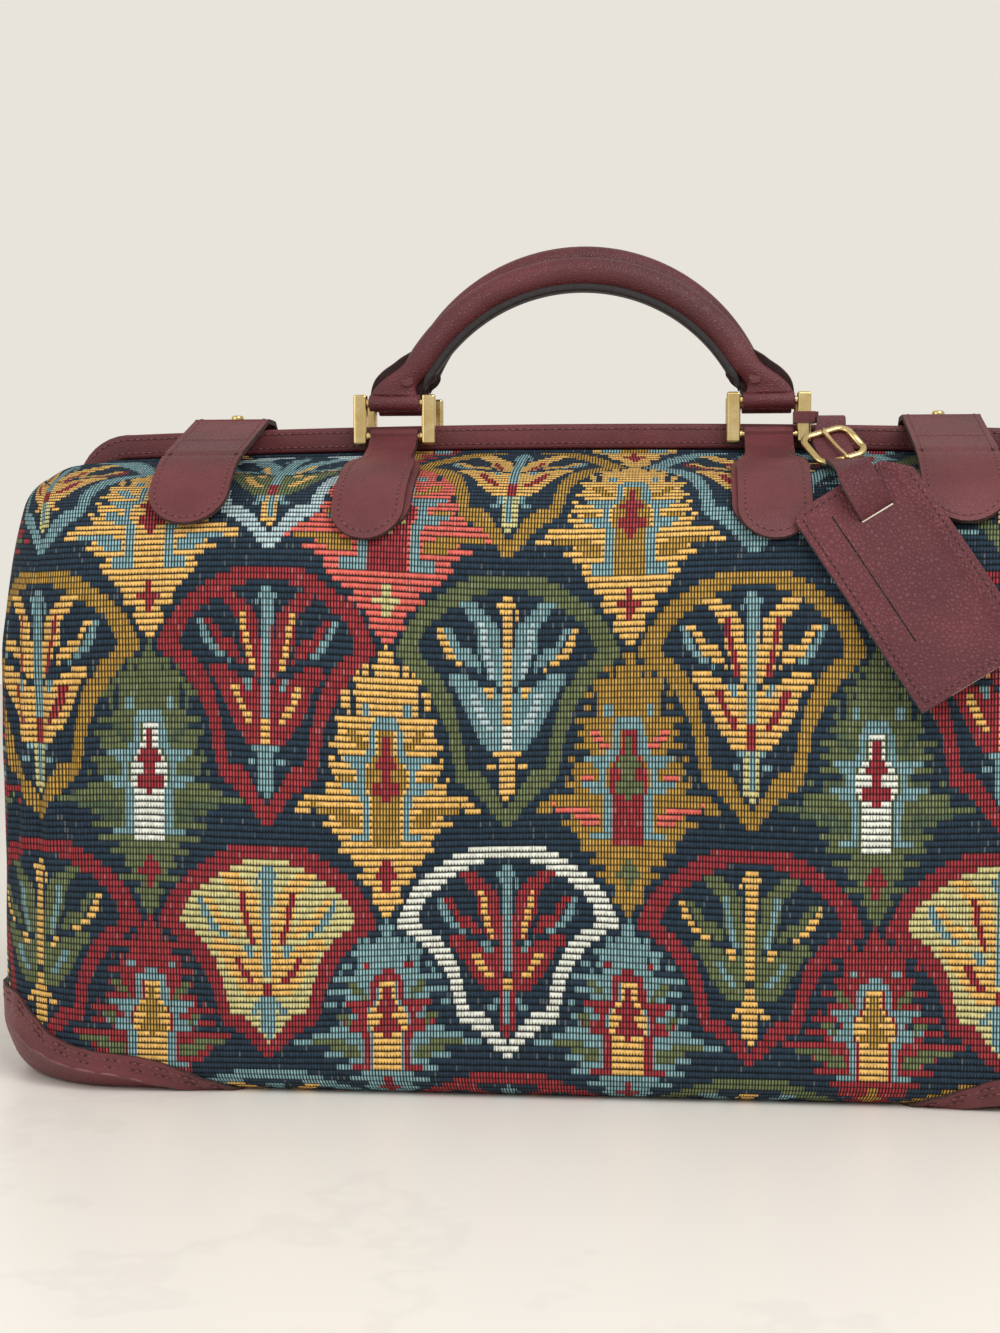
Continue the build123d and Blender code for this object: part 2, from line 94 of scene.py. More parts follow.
def length_at(height):
    """Half length of the bag's outline from the front, at a height."""
    low = np.clip(base_corner - height, 0, base_corner)
    high = np.clip(height - (strip_bottom - crown - top_corner), 0, top_corner)
    foot = base_corner - np.sqrt(np.clip(base_corner ** 2 - low ** 2, 0, None))
    head = top_corner - np.sqrt(np.clip(top_corner ** 2 - high ** 2, 0, None))
    return half_length - foot - head


def bag_skin(around, run):
    """Points of the bag's outside, at lengths around from the front's middle and down from the frame."""
    around, run = np.broadcast_arrays(np.asarray(around, float), np.asarray(run, float))
    way, dist = np.sign(around), np.abs(around)
    depth, height = side_profile(run)
    lift = np.clip((height - shoulder_z) / (strip_bottom - shoulder_z), 0, 1)
    drop = crown * lift * np.clip(dist / half_length, 0, 1) ** 2
    reach = length_at(height - drop)
    room = depth - 0.6
    bend = np.minimum(plan_radius - 0.6 * (half_depth - depth), room)
    bend = np.maximum(bend, np.minimum(8.0, room))
    straight = reach - bend
    front = dist / front_half * (straight + bend * seam_turn)
    turn = np.clip((front - straight) / bend, 0, seam_turn)
    front_x = np.minimum(front, straight) + bend * np.sin(turn)
    front_y = depth - bend + bend * np.cos(turn)
    share = np.clip(1 - (dist - front_half) / end_half, -1, 1)
    side = share * (bend * (math.pi / 2 - seam_turn) + depth - bend)
    flat = depth - bend
    corner = np.clip((np.abs(side) - flat) / bend, 0, math.pi / 2)
    end_x = straight + bend * np.cos(corner)
    end_y = np.sign(side) * (np.minimum(np.abs(side), flat) + bend * np.sin(corner))
    on_front = dist <= front_half
    x = np.where(on_front, front_x, end_x)
    y = np.where(on_front, front_y, end_y)
    return np.stack([way * x, -y, height - drop], axis=-1)


def skin_normal(around, run):
    """Outward direction of the bag's outside."""
    step = 0.5
    across = bag_skin(around + step, run) - bag_skin(around - step, run)
    down = bag_skin(around, run + step) - bag_skin(around, run - step)
    normal = np.cross(down, across)
    return normal / np.maximum(np.linalg.norm(normal, axis=-1, keepdims=True), 1e-9)


def smooth_step(low, high, value):
    """A smooth change from 0 to 1 between two values."""
    share = np.clip((value - low) / (high - low), 0, 1)
    return share * share * (3 - 2 * share)


def soft_noise(points, size, seed):
    """Smooth noise at points in millimetres, for swells of about a size."""
    shift = Vector((seed * 7.31, seed * 3.17, seed * 5.71))
    values = [noise.noise(Vector(p) / size + shift) for p in points.reshape(-1, 3)]
    return np.array(values).reshape(points.shape[:-1])


# Materials
class Finish:
    """A material and short calls for its nodes."""

    def __init__(self, name, roughness, **sockets):
        self.material = bpy.data.materials.new(name)
        self.material.use_nodes = True
        self.tree = self.material.node_tree
        self.shader = self.tree.nodes["Principled BSDF"]
        self.shader.inputs["Roughness"].default_value = roughness
        for key, value in sockets.items():
            self.shader.inputs[key.replace("_", " ")].default_value = value

    def node(self, kind, **settings):
        made = self.tree.nodes.new(kind)
        for key, value in settings.items():
            setattr(made, key, value)
        return made

    def feed(self, target, value):
        if isinstance(value, bpy.types.NodeSocket):
            self.tree.links.new(value, target)
        else:
            target.default_value = value

    def math(self, operation, first, second=0.0, third=0.0, clamp=False):
        made = self.node("ShaderNodeMath", operation=operation, use_clamp=clamp)
        for target, value in zip(made.inputs, (first, second, third)):
            self.feed(target, value)
        return made.outputs[0]

    def between(self, value, low, high, start=0.0, end=1.0):
        made = self.node("ShaderNodeMapRange", interpolation_type="SMOOTHSTEP")
        ends = {"Value": value, "From Min": low, "From Max": high, "To Min": start, "To Max": end}
        for key, data in ends.items():
            self.feed(made.inputs[key], data)
        return made.outputs[0]

    def mix(self, factor, first, second):
        made = self.node("ShaderNodeMix", data_type="RGBA")
        for index, value in ((0, factor), (6, first), (7, second)):
            self.feed(made.inputs[index], value)
        return made.outputs[2]

    def place(self):
        return self.node("ShaderNodeTexCoord").outputs["Object"]

    def noise(self, vector, scale, detail=2.0, roughness=0.5):
        made = self.node("ShaderNodeTexNoise")
        self.feed(made.inputs["Vector"], vector)
        made.inputs["Scale"].default_value = scale
        made.inputs["Detail"].default_value = detail
        made.inputs["Roughness"].default_value = roughness
        return made.outputs["Fac"]

    def cell_edges(self, vector, scale):
        made = self.node("ShaderNodeTexVoronoi", feature="DISTANCE_TO_EDGE")
        self.feed(made.inputs["Vector"], vector)
        made.inputs["Scale"].default_value = scale
        return made.outputs["Distance"]

    def bump(self, height, strength, distance):
        made = self.node("ShaderNodeBump")
        made.inputs["Strength"].default_value = strength
        made.inputs["Distance"].default_value = distance
        self.feed(made.inputs["Height"], height)
        return made.outputs["Normal"]

    def colour(self, value):
        self.feed(self.shader.inputs["Base Color"], value)

    def rough(self, value):
        self.feed(self.shader.inputs["Roughness"], value)

    def normal(self, value):
        self.feed(self.shader.inputs["Normal"], value)


def tint(red, green, blue):
    """A colour from screen values of 0 to 255."""
    def linear(value):
        value /= 255
        return value / 12.92 if value <= 0.04045 else ((value + 0.055) / 1.055) ** 2.4
    return (linear(red), linear(green), linear(blue), 1.0)


stitch_width, rib_height = 1.36, 2.86
front_columns, end_columns = round(2 * front_half / stitch_width), round(2 * end_half / stitch_width)
cloth_rows = round(cloth_run / rib_height)
stitch_across, stitch_down = 2 * front_half / front_columns, cloth_run / cloth_rows


def tapestry_finish():
    """Ribbed tapestry: each stitch has its own colour; the near-black gaps between the stitches are painted
    shade over the warp.
    """
    finish = Finish("tapestry", 0.86, Specular_IOR_Level=0.18)
    work = finish.math
    yarn = finish.node("ShaderNodeAttribute", attribute_name="yarn")
    cloth = finish.node("ShaderNodeUVMap", uv_map="cloth")
    parts = finish.node("ShaderNodeSeparateXYZ")
    finish.feed(parts.inputs[0], cloth.outputs[0])
    wobble = work("MULTIPLY", work("SUBTRACT", finish.noise(finish.place(), 160.0), 0.5), 0.5)
    across = work("MULTIPLY", parts.outputs[0], 1 / (stitch_across * MM))
    down = work("MULTIPLY_ADD", parts.outputs[1], 1 / (stitch_down * MM), work("MULTIPLY", wobble, 0.35))
    across_share, down_share = work("FRACT", across), work("FRACT", down)
    tick = work("MULTIPLY", work("ABSOLUTE", work("SUBTRACT", across_share, 0.5)), 2.0)
    rib = work("MULTIPLY", work("ABSOLUTE", work("SUBTRACT", down_share, 0.5)), 2.0)
    stitch = finish.node("ShaderNodeCombineXYZ")
    finish.feed(stitch.inputs[0], work("FLOOR", across))
    finish.feed(stitch.inputs[1], work("FLOOR", down))
    dice = finish.node("ShaderNodeTexWhiteNoise", noise_dimensions="2D")
    finish.feed(dice.inputs["Vector"], stitch.outputs[0])
    chance = dice.outputs["Value"]
    bead = finish.between(tick, 0.3, 0.86, 1.0, 0.0)
    row = finish.between(rib, 0.48, 0.98, 1.0, 0.0)
    # painted shade: the gaps between floating stitches darken on the lower half of each row, as under light
    # from above
    lower_gap_shade = finish.between(down_share, 0.45, 0.85)
    ticked = work("MULTIPLY", work("MULTIPLY_ADD", bead, 0.94, 0.06), work("MULTIPLY_ADD", row, 0.72, 0.28))
    bound = finish.between(chance, 0.84, 0.86, 0.05, 0.7)
    notch = work("MAXIMUM", work("MULTIPLY_ADD", lower_gap_shade, 0.9, 0.05), bound)
    comb = work("SUBTRACT", 1.0, work("MULTIPLY", work("SUBTRACT", 1.0, bead), notch))
    floating = yarn.outputs["Alpha"]
    flat_cover = work("MULTIPLY", ticked, work("SUBTRACT", 1.0, floating))
    float_cover = work("MULTIPLY", work("MULTIPLY", row, comb), floating)
    cover = work("ADD", flat_cover, float_cover, clamp=True)
    shade = work("MULTIPLY_ADD", chance, 0.36, 0.84)
    fleck = work("MULTIPLY", finish.between(chance, 0.95, 0.97), work("MULTIPLY", bead, row))
    faded = work("MULTIPLY_ADD", finish.noise(finish.place(), 14.0, 3.0), 0.3, 0.86)
    tone = finish.node("ShaderNodeVectorMath", operation="SCALE")
    finish.feed(tone.inputs[0], yarn.outputs["Color"])
    finish.feed(tone.inputs["Scale"], work("MULTIPLY", shade, faded))
    # painted shade: a near-black colour fills the gaps between stitches and rows, standing for the shade in
    # these recesses
    shaded_warp = finish.mix(chance, tint(9, 12, 16), tint(20, 24, 28))
    woven = finish.mix(cover, shaded_warp, tone.outputs[0])
    finish.colour(finish.mix(work("MULTIPLY", fleck, 0.16), woven, tint(196, 198, 186)))
    fibre = finish.noise(finish.place(), 1500.0, 2.0)
    finish.rough(work("MULTIPLY_ADD", fibre, 0.2, 0.74))
    raised = work("ADD", cover, work("MULTIPLY", fibre, 0.18))
    finish.normal(finish.bump(raised, 0.75, 0.0007))
    return finish.material


def leather_finish(name, deep, light, grain, grain_depth, roughness):
    """Burgundy leather with pebble grain, faint creases and paler rubbed places."""
    finish = Finish(name, roughness, Specular_IOR_Level=0.45)
    place = finish.place()
    bent = finish.node("ShaderNodeVectorMath", operation="MULTIPLY_ADD")
    curl = finish.node("ShaderNodeTexNoise")
    curl.inputs["Scale"].default_value = grain * 0.45
    finish.feed(curl.inputs["Vector"], place)
    finish.feed(bent.inputs[0], curl.outputs["Color"])
    bent.inputs[1].default_value = (0.8 / grain, 0.8 / grain, 0.8 / grain)
    finish.feed(bent.inputs[2], place)
    valley = finish.cell_edges(bent.outputs[0], grain)
    pits = finish.between(valley, 0.0, 0.26, 1.0, 0.0)
    dome = finish.between(valley, 0.0, 0.5)
    cloud = finish.noise(place, 20.0, 4.0, 0.6)
    crease = finish.noise(place, 210.0, 3.0, 0.55)
    ground = finish.mix(finish.between(cloud, 0.3, 0.72), deep, light)
    finish.colour(finish.mix(finish.math("MULTIPLY", pits, min(0.9 * grain_depth, 0.5)), ground,
                             tuple(0.4 * part for part in deep[:3]) + (1.0,)))
    worn = finish.math("MULTIPLY_ADD", cloud, 0.14, roughness - 0.1)
    finish.rough(finish.math("MULTIPLY_ADD", pits, 0.22, worn))
    height = finish.math("ADD", dome, finish.math("MULTIPLY", crease, 0.5))
    finish.normal(finish.bump(height, grain_depth, 0.0007))
    return finish.material


def plain_finish(name, deep, light, scale, roughness, **sockets):
    """A finish with a soft mottle, for edges, thread, board and card."""
    finish = Finish(name, roughness, **sockets)
    place = finish.place()
    mottle = finish.noise(place, scale, 4.0, 0.6)
    finish.colour(finish.mix(finish.between(mottle, 0.3, 0.7), deep, light))
    finish.rough(finish.math("MULTIPLY_ADD", mottle, 0.2, roughness - 0.1))
    finish.normal(finish.bump(mottle, 0.2, 0.0004))
    return finish.material


def brass_finish():
    """Pale brass, brushed, with duller worn patches."""
    finish = Finish("brass", 0.3, Metallic=1.0)
    place = finish.place()
    worn = finish.noise(place, 120.0, 4.0, 0.6)
    stretch = finish.node("ShaderNodeMapping")
    stretch.inputs["Scale"].default_value = (1.0, 1.0, 14.0)
    finish.feed(stretch.inputs["Vector"], place)
    brushed = finish.noise(stretch.outputs[0], 500.0, 3.0, 0.6)
    finish.colour(finish.mix(finish.between(worn, 0.35, 0.7), tint(222, 194, 130), tint(236, 214, 160)))
    finish.rough(finish.math("MULTIPLY_ADD", worn, 0.16, finish.math("MULTIPLY_ADD", brushed, 0.08, 0.14)))
    finish.normal(finish.bump(brushed, 0.05, 0.0001))
    return finish.material


tapestry = tapestry_finish()
leather = leather_finish("pebbled_leather", tint(96, 40, 48), tint(118, 55, 63), 520.0, 0.5, 0.54)
handle_leather = leather_finish("handle_leather", tint(86, 33, 39), tint(110, 48, 54), 720.0, 0.36, 0.38)
strap_leather = leather_finish("strap_leather", tint(93, 39, 44), tint(116, 54, 58), 900.0, 0.22, 0.42)
# partly rubbed wear, partly painted highlight: the paler leather of the welts along the folds of the corner
# patches
rubbed_and_highlight_leather = leather_finish("rubbed_and_highlight_leather", tint(122, 70, 74), tint(150, 98, 100), 900.0, 0.2, 0.4)
flesh_side = plain_finish("leather_inside", tint(38, 20, 22), tint(58, 33, 34), 500.0, 0.85)
raw_edge = plain_finish("raw_leather_edge", tint(44, 24, 26), tint(78, 50, 48), 600.0, 0.8)
dark_leather = plain_finish("dark_seam_leather", tint(20, 18, 20), tint(40, 34, 36), 500.0, 0.6)
thread = plain_finish("burgundy_thread", tint(96, 46, 50), tint(140, 84, 84), 1200.0, 0.75)
# painted shade: dark burgundy for the thin tubes that stand for the shade in the stitch channels
seam_shade = plain_finish("seam_shade", tint(46, 17, 22), tint(58, 24, 28), 900.0, 0.8)
brass = brass_finish()
lining_cloth = plain_finish("lining_cloth", tint(60, 52, 46), tint(78, 68, 60), 700.0, 0.9)
board_finish = plain_finish("pressed_board", tint(150, 132, 104), tint(170, 152, 124), 300.0, 0.9)
steel = plain_finish("frame_steel", tint(150, 150, 150), tint(180, 180, 178), 400.0, 0.4, Metallic=1.0)
tag_edge = plain_finish("tag_raw_edge", tint(52, 52, 50), tint(84, 78, 74), 500.0, 0.85)
card_finish = plain_finish("tag_card", tint(222, 216, 200), tint(236, 231, 218), 200.0, 0.85)


# Pieces
leather_edge_round = 0.4


def new_piece(bm, name, finishes, body, replaces=(), smooth=True):
    """A finished piece from a bmesh in metres, riding on a body."""
    mesh = bpy.data.meshes.new(name)
    bm.to_mesh(mesh)
    bm.free()
    add_piece(mesh, name, finishes, body, replaces, smooth)


def add_piece(mesh, name, finishes, body, replaces=(), smooth=True):
    """A finished piece from a mesh, with its body and the nodes that it replaces."""
    for finish in finishes:
        mesh.materials.append(finish)
    if smooth:
        mesh.shade_smooth()
    piece = bpy.data.objects.new(name, mesh)
    bpy.context.scene.collection.objects.link(piece)
    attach(piece, body)
    if replaces:
        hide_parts(*replaces)
    return piece


def thicken(piece, thickness, rim):
    """Gives a sheet its thickness, a rim of its own finish and softened edges."""
    wall = piece.modifiers.new("thickness", "SOLIDIFY")
    wall.thickness = thickness * MM
    wall.offset = 0.0
    wall.material_offset_rim = rim
    edge = piece.modifiers.new("edge", "BEVEL")
    edge.width = leather_edge_round * MM
    edge.segments = 2
    edge.limit_method = "ANGLE"
    edge.angle_limit = math.radians(40)
    edge.harden_normals = True


def grid_mesh(name, columns, rows, place):
    """A grid of faces whose corners are put in place by a function of two shares from 0 to 1."""
    bm = bmesh.new()
    bmesh.ops.create_grid(bm, x_segments=columns, y_segments=rows, size=0.5)
    mesh = bpy.data.meshes.new(name)
    bm.to_mesh(mesh)
    bm.free()
    flat = np.zeros(len(mesh.vertices) * 3)
    mesh.vertices.foreach_get("co", flat)
    shares = flat.reshape(-1, 3)[:, :2] + 0.5
    mesh.vertices.foreach_set("co", (place(shares[:, 0], shares[:, 1]) * MM).ravel())
    return mesh, shares


def face_shares(mesh, shares):
    """The middle of each face in shares, and the shares of each corner."""
    corners = np.zeros(len(mesh.loops), int)
    mesh.loops.foreach_get("vertex_index", corners)
    at_corner = shares[corners]
    return at_corner.reshape(-1, 4, 2).mean(axis=1), at_corner


# Tapestry motifs in millimetres: half outlines beside an axis, with depth below the motif's top
SHIELD = [(0, 0), (7, 0), (16.7, 2.5), (22.5, 5.4), (30, 10.8), (36.7, 15.8), (41.3, 21.3),
          (44.6, 26.7), (46.7, 32), (48.4, 35), (48.4, 38.8), (44, 42), (38.3, 48), (33, 55.4),
          (28.8, 63.8), (25, 73.8), (24.2, 80.4), (22.5, 89.6), (21.3, 95.4), (16, 98.5), (9.2, 105.4),
          (4, 113), (0, 117)]
FIELD = [(0, 8), (8.3, 8), (15, 10.8), (24, 15.8), (29, 20), (34.6, 24.6), (37, 29.6), (38.8, 33.8),
         (38.8, 37), (33.8, 41.3), (30, 45), (27, 50.4), (24.2, 55.4), (22, 63), (20.4, 69.6),
         (19.2, 76), (18, 83.8), (17.5, 88), (13.3, 89), (10, 92), (7.5, 95.4), (4, 102), (0, 108)]
TULIP = [
    ("spike", [(0, 10), (2.4, 11.5), (4.9, 16), (4.4, 21), (2.6, 25), (2.2, 30), (2.2, 69), (0, 69)]),
    ("inner", [(21.5, 13.6), (13.5, 13.6), (10, 17), (7, 20.5), (4.5, 23.5), (2.2, 27), (2.2, 52),
               (8, 52), (10, 44), (12.5, 36), (12.5, 25), (16, 21), (19, 17)]),
    ("outer", [(29.5, 25), (25, 25), (21.5, 30), (20.5, 33), (16, 34.5), (12.5, 37), (8, 40), (8, 45),
               (14, 43.5), (18, 40.5), (22, 38), (23.5, 33.5), (26, 29)]),
    ("edge", [(31, 25.5), (28.5, 25.5), (26, 31), (23.4, 36), (20, 40), (16, 44), (12.4, 48.5),
              (14.5, 50), (18, 46), (22.5, 41), (26, 38), (29, 33)]),
    ("low", [(23.7, 44.5), (18.3, 44.5), (12, 49), (2.2, 52), (2.2, 79.5), (8.5, 79.5), (11.5, 75.5),
             (14.2, 71.5), (16, 67), (18.5, 62), (20.5, 57), (22, 53.5), (26.6, 48.7)]),
    ("inner_vein", [(12.3, 22.8), (9.8, 22.8), (8.6, 31), (6, 43), (5.3, 50), (7.2, 50), (8.8, 42),
                    (11, 32)]),
    ("low_vein", [(16.3, 54), (12.8, 54), (10.8, 61), (6.8, 68), (5.3, 70), (7.8, 71.5), (11.2, 67.5),
                  (14.2, 61)]),
    ("gap", [(13.6, 35), (11.8, 35), (9, 44), (7, 52), (9, 52), (11, 44.6)]),
    ("gap", [(2.2, 50.6), (12, 47.2), (18, 43), (24.5, 43), (24.5, 45.4), (18.8, 45.6), (12.8, 49.8),
             (2.2, 53.4)]),
    ("gap", [(4.2, 16), (2.6, 16), (2.3, 34), (3.6, 34)]),
    ("edge", [(11, 50), (7, 50), (6, 56), (8.5, 57)]),
    ("spike", [(0, 52), (2, 52), (2, 69), (0, 69)]),
    ("heart", [(0, 70), (2.2, 70), (2.2, 79.5), (0, 79.5)]),
    ("stem", [(3.4, 80), (1.2, 80), (1.2, 99), (3.4, 99)]),
    ("spike", [(0, 80), (1.2, 80), (1.2, 97), (0, 97)]),
    ("leaf", [(8.6, 85.2), (4.6, 85.2), (4.6, 90.6), (8.6, 90.6)]),
    ("leaf", [(6, 81.8), (3.2, 81.8), (3.2, 85), (6, 85)]),
    ("stem", [(0, 98.5), (3.4, 98.5), (3.4, 101.5), (1.5, 101.5), (1.5, 104.5), (0, 104.5)]),
]
FLAME = [(0, 0), (1.6, 1), (3, 3), (3, 7), (5.5, 8.4), (6.6, 9.5), (7, 8), (11, 8), (11, 10.5),
         (9.6, 12.5), (10, 14), (12, 14), (12, 10.5), (14.5, 10.5), (15.2, 19.5), (13.5, 21.5),
         (13.5, 23), (16, 20.5), (20, 19.5), (20, 23), (19, 28.5), (16, 29.5), (16.5, 31), (20.5, 30.5),
         (22, 29.5), (22.5, 34), (19.7, 36), (21, 39), (24.6, 41.5), (24.6, 43), (20, 45), (22.5, 46.5),
         (26, 46.5), (25, 52), (24.6, 54.5), (22, 56), (25, 56), (28, 55.5), (28, 59.5), (25.5, 61.5),
         (26, 63), (33, 64.5), (38, 67.5), (40, 72), (40, 74), (34, 74), (33, 71.5), (26, 71.5),
         (25.5, 75), (29, 76), (29, 77.5), (24.6, 79), (24.6, 81), (20.5, 82), (21.8, 86), (20, 88.5),
         (19.3, 90), (16.8, 92.5), (15, 95.5), (11, 97.5), (12.3, 100.5), (12, 102), (10, 104.5),
         (6.2, 106), (6.6, 110), (6.2, 113.5), (3, 115), (2.9, 116.5), (1.5, 118), (0, 120)]
LEAF = [
    ("main", FLAME),
    ("notch", [(7, 9.6), (5.3, 9.6), (5.3, 13.6), (7, 13.6)]),
    ("notch", [(12, 10.4), (9.8, 10.4), (9.8, 13.8), (12, 13.8)]),
    ("notch", [(16.4, 20.4), (13.5, 20.4), (13.5, 29), (16.4, 29)]),
    ("notch", [(23, 46.6), (19.8, 46.6), (19.8, 49.8), (23, 49.8)]),
    ("notch", [(26.2, 55.6), (22.8, 55.6), (22.8, 58.8), (26.2, 58.8)]),
    ("line", [(11, 23.5), (7.5, 23.5), (7.5, 29), (11, 29)]),
    ("line", [(0, 29.5), (2.6, 29.5), (6.2, 33), (7.4, 38), (7.4, 46), (19, 47), (19, 49.6), (15, 52.4),
              (12.6, 53.4), (12.6, 59), (20.5, 58.5), (20.5, 60.8), (16, 63.6), (11.6, 65), (10.6, 70),
              (10.4, 82), (16, 82.4), (16, 86), (7.2, 86), (7.2, 66), (9.4, 62), (9.4, 53), (6.4, 49.5),
              (4.4, 46), (4.2, 36), (0, 36)]),
    ("core", [(0, 35.5), (3.2, 35.5), (3.6, 46), (6.4, 50), (8.6, 55), (8.6, 62), (6.4, 66), (6.4, 88),
              (0, 88)]),
    ("heart", [(0, 38), (1.6, 38), (1.6, 47), (5, 50), (5, 52.5), (2.2, 53.5), (2.2, 58.5), (6, 60),
               (6, 64.5), (1.8, 66), (1.8, 69), (0, 69)]),
    ("heart", [(0, 92), (1.6, 92), (1.8, 97.5), (5.2, 98), (4.8, 102), (2, 103), (1.8, 106.5),
               (0, 106.5)]),
    ("spark", [(18, 35.5), (14, 35.5), (11.5, 40), (7.6, 43), (10.5, 45.4), (15.5, 41)]),
    ("spark", [(22, 55.5), (17, 55.5), (14, 58.4), (17.5, 59.8), (20.5, 58.4)]),
    ("spark", [(33, 69), (20, 69.5), (12.4, 74), (11.5, 80), (18, 80), (22, 75), (33, 71.4)]),
]

# Yarns: screen colour and how far a stitch floats over the warp
YARNS = {
    "navy": (42, 60, 76, 0.8), "gold": (236, 188, 106, 1.0), "ochre": (200, 158, 74, 0.0),
    "teal": (146, 188, 194, 0.0), "red": (182, 64, 70, 0.0), "coral": (224, 108, 96, 1.0),
    "olive": (122, 134, 92, 0.1), "cream": (230, 234, 222, 1.0), "straw": (216, 208, 144, 0.8),
    "sky": (192, 216, 220, 0.6), "rose": (174, 60, 68, 0.1), "moss": (96, 114, 88, 0.2),
}


def tulip(shield, field, spike, petal, vein, edge, low, heart, leaf, stem):
    """The yarns of a palmette and of the shield round it."""
    return {
        "band": shield, "field": field, "spike": spike, "inner": petal, "outer": petal,
        "inner_vein": vein, "edge": edge, "low": low, "low_vein": vein, "heart": heart,
        "leaf": leaf, "stem": stem, "gap": "straw" if field == "straw" else "navy",
    }


TULIPS = {
    "ochre": tulip("ochre", "navy", "teal", "gold", "red", "teal", "gold", "red", "teal", "straw"),
    "red": tulip("red", "navy", "teal", "red", "gold", "teal", "red", "gold", "teal", "teal"),
    "olive": tulip("olive", "navy", "gold", "teal", "sky", "gold", "teal", "cream", "gold", "gold"),
    "green_in_red": tulip("rose", "navy", "gold", "olive", "teal", "gold", "olive", "gold", "gold", "gold"),
    "straw_in_red": tulip("rose", "straw", "teal", "gold", "red", "teal", "gold", "red", "teal", "teal"),
    "cream": tulip("cream", "navy", "teal", "red", "gold", "teal", "red", "gold", "teal", "red"),
    "teal": tulip("teal", "navy", "teal", "gold", "red", "red", "gold", "red", "gold", "straw"),
    "sky": tulip("sky", "navy", "teal", "teal", "gold", "gold", "olive", "red", "teal", "gold"),
}


def flame(main, line, core, heart, spark, fringe=0.0, spread=1.0):
    """The yarns of a flame, how ragged its outline is and how far it spreads."""
    return {
        "main": main, "line": line, "core": core, "heart": heart, "spark": spark, "notch": "navy",
        "fringe": fringe, "spread": spread,
    }


FLAMES = {
    "gold": flame("gold", "teal", "ochre", "red", "ochre"),
    "ochre": flame("ochre", "teal", "red", "olive", "coral", 0.4),
    "green": flame("olive", "teal", "cream", "rose", "moss", 0.9),
    "coral": flame("coral", "teal", "red", "straw", "ochre", 0.0, 1.3),
    "wine": flame("red", "teal", "gold", "ochre", "olive", 0.9),
    "teal": flame("teal", "red", "gold", "rose", "olive", 0.7),
    "amber": flame("gold", "teal", "gold", "red", "teal"),
}
pitch_across, pitch_down = 105.3, 119.5
first_column, first_row = -26.0, 5.1
shield_tall_share, flame_tall_share = 0.966, 0.996
flame_aside, flame_rise = 0.5, 0.72
motif_half, motif_tall, motif_margin = 60, 120, 3
tuck_start, tuck_share = 280.0, 1.29
SHIELD_ROWS = [["ochre", "teal", "olive", "teal", "sky"], ["olive", "ochre", "red", "ochre", "red"],
               ["cream", "green_in_red", "straw_in_red", "green_in_red", "straw_in_red"],
               ["red", "olive", "ochre", "ochre", "teal"]]
FLAME_ROWS = [["gold", "teal", "coral", "amber", "wine"], ["gold", "teal", "wine", "amber", "coral"],
              ["ochre", "green", "wine", "green", "gold"], ["teal", "wine", "gold", "wine", "teal"]]


def inside(outline, beside, below):
    """Which points lie inside an outline."""
    found = np.zeros(beside.shape, bool)
    for (x0, y0), (x1, y1) in zip(outline, outline[1:] + outline[:1]):
        if y0 != y1:
            crosses = (below < y0) != (below < y1)
            found ^= crosses & (beside < x0 + (below - y0) * (x1 - x0) / (y1 - y0))
    return found


def weave(across, down, shift):
    """The yarn of each stitch, at places in millimetres across and down the cloth."""
    names = list(YARNS)
    yarn = np.zeros(across.shape, int)
    line = np.floor(down / stitch_down).astype(int)
    down = np.where(down > tuck_start, tuck_start + (down - tuck_start) * tuck_share, down)
    dice = np.random.RandomState(5)
    teeth = np.where(np.arange(256) % 2, 1.5, -1.0) + dice.uniform(-2.6, 3.4, 256)
    gaps = dice.uniform(0.0, 9.0, 256) * (np.arange(256) % 2)

    def lay(parts, colours, middle, top, tall):
        in_rows = (down > top - motif_margin) & (down < top + motif_tall + motif_margin)
        near = np.flatnonzero((np.abs(across - middle) < motif_half) & in_rows)
        beside = np.abs(across[near] - middle) / colours.get("spread", 1.0)
        below = (down[near] - top) / tall
        pick = (line[near] * 3 + int(middle * 7)) % 256
        for part, outline in parts:
            ragged = 0 * beside
            if part == "main":
                ragged = (0.3 + 0.6 * colours["fringe"]) * teeth[pick] + colours["fringe"] * gaps[pick]
                ragged = ragged * np.clip(beside / 12, 0, 1)
            found = inside(outline, np.maximum(beside + ragged, 0.01), below)
            yarn[near[found]] = names.index(colours[part])

    first = math.floor((across.min() - motif_half) / pitch_across)
    last = math.ceil((across.max() + motif_half) / pitch_across)
    palmette = [("band", SHIELD), ("field", FIELD)] + TULIP
    layers = (
        (LEAF, FLAMES, FLAME_ROWS, flame_aside, flame_rise, flame_tall_share),
        (palmette, TULIPS, SHIELD_ROWS, 0.0, 0.0, shield_tall_share),
    )
    for parts, colourings, rows, aside, rise, tall in layers:
        for row, kinds in enumerate(rows):
            for column in range(first, last + 1):
                colours = colourings[kinds[(column + shift) % len(kinds)]]
                middle = first_column + (column + aside) * pitch_across
                lay(parts, colours, middle, first_row + (row - rise) * pitch_down, tall)
    table = np.array([tint(*YARNS[name][:3])[:3] + (YARNS[name][3],) for name in names], np.float32)
    return table[yarn]


# How the cloth lies, in millimetres
face_fullness, end_bulge, ripple_height, ripple_pitch, seam_nip, frame_crease = 2.6, 6.0, 1.5, 15.5, 0.5, 1.8


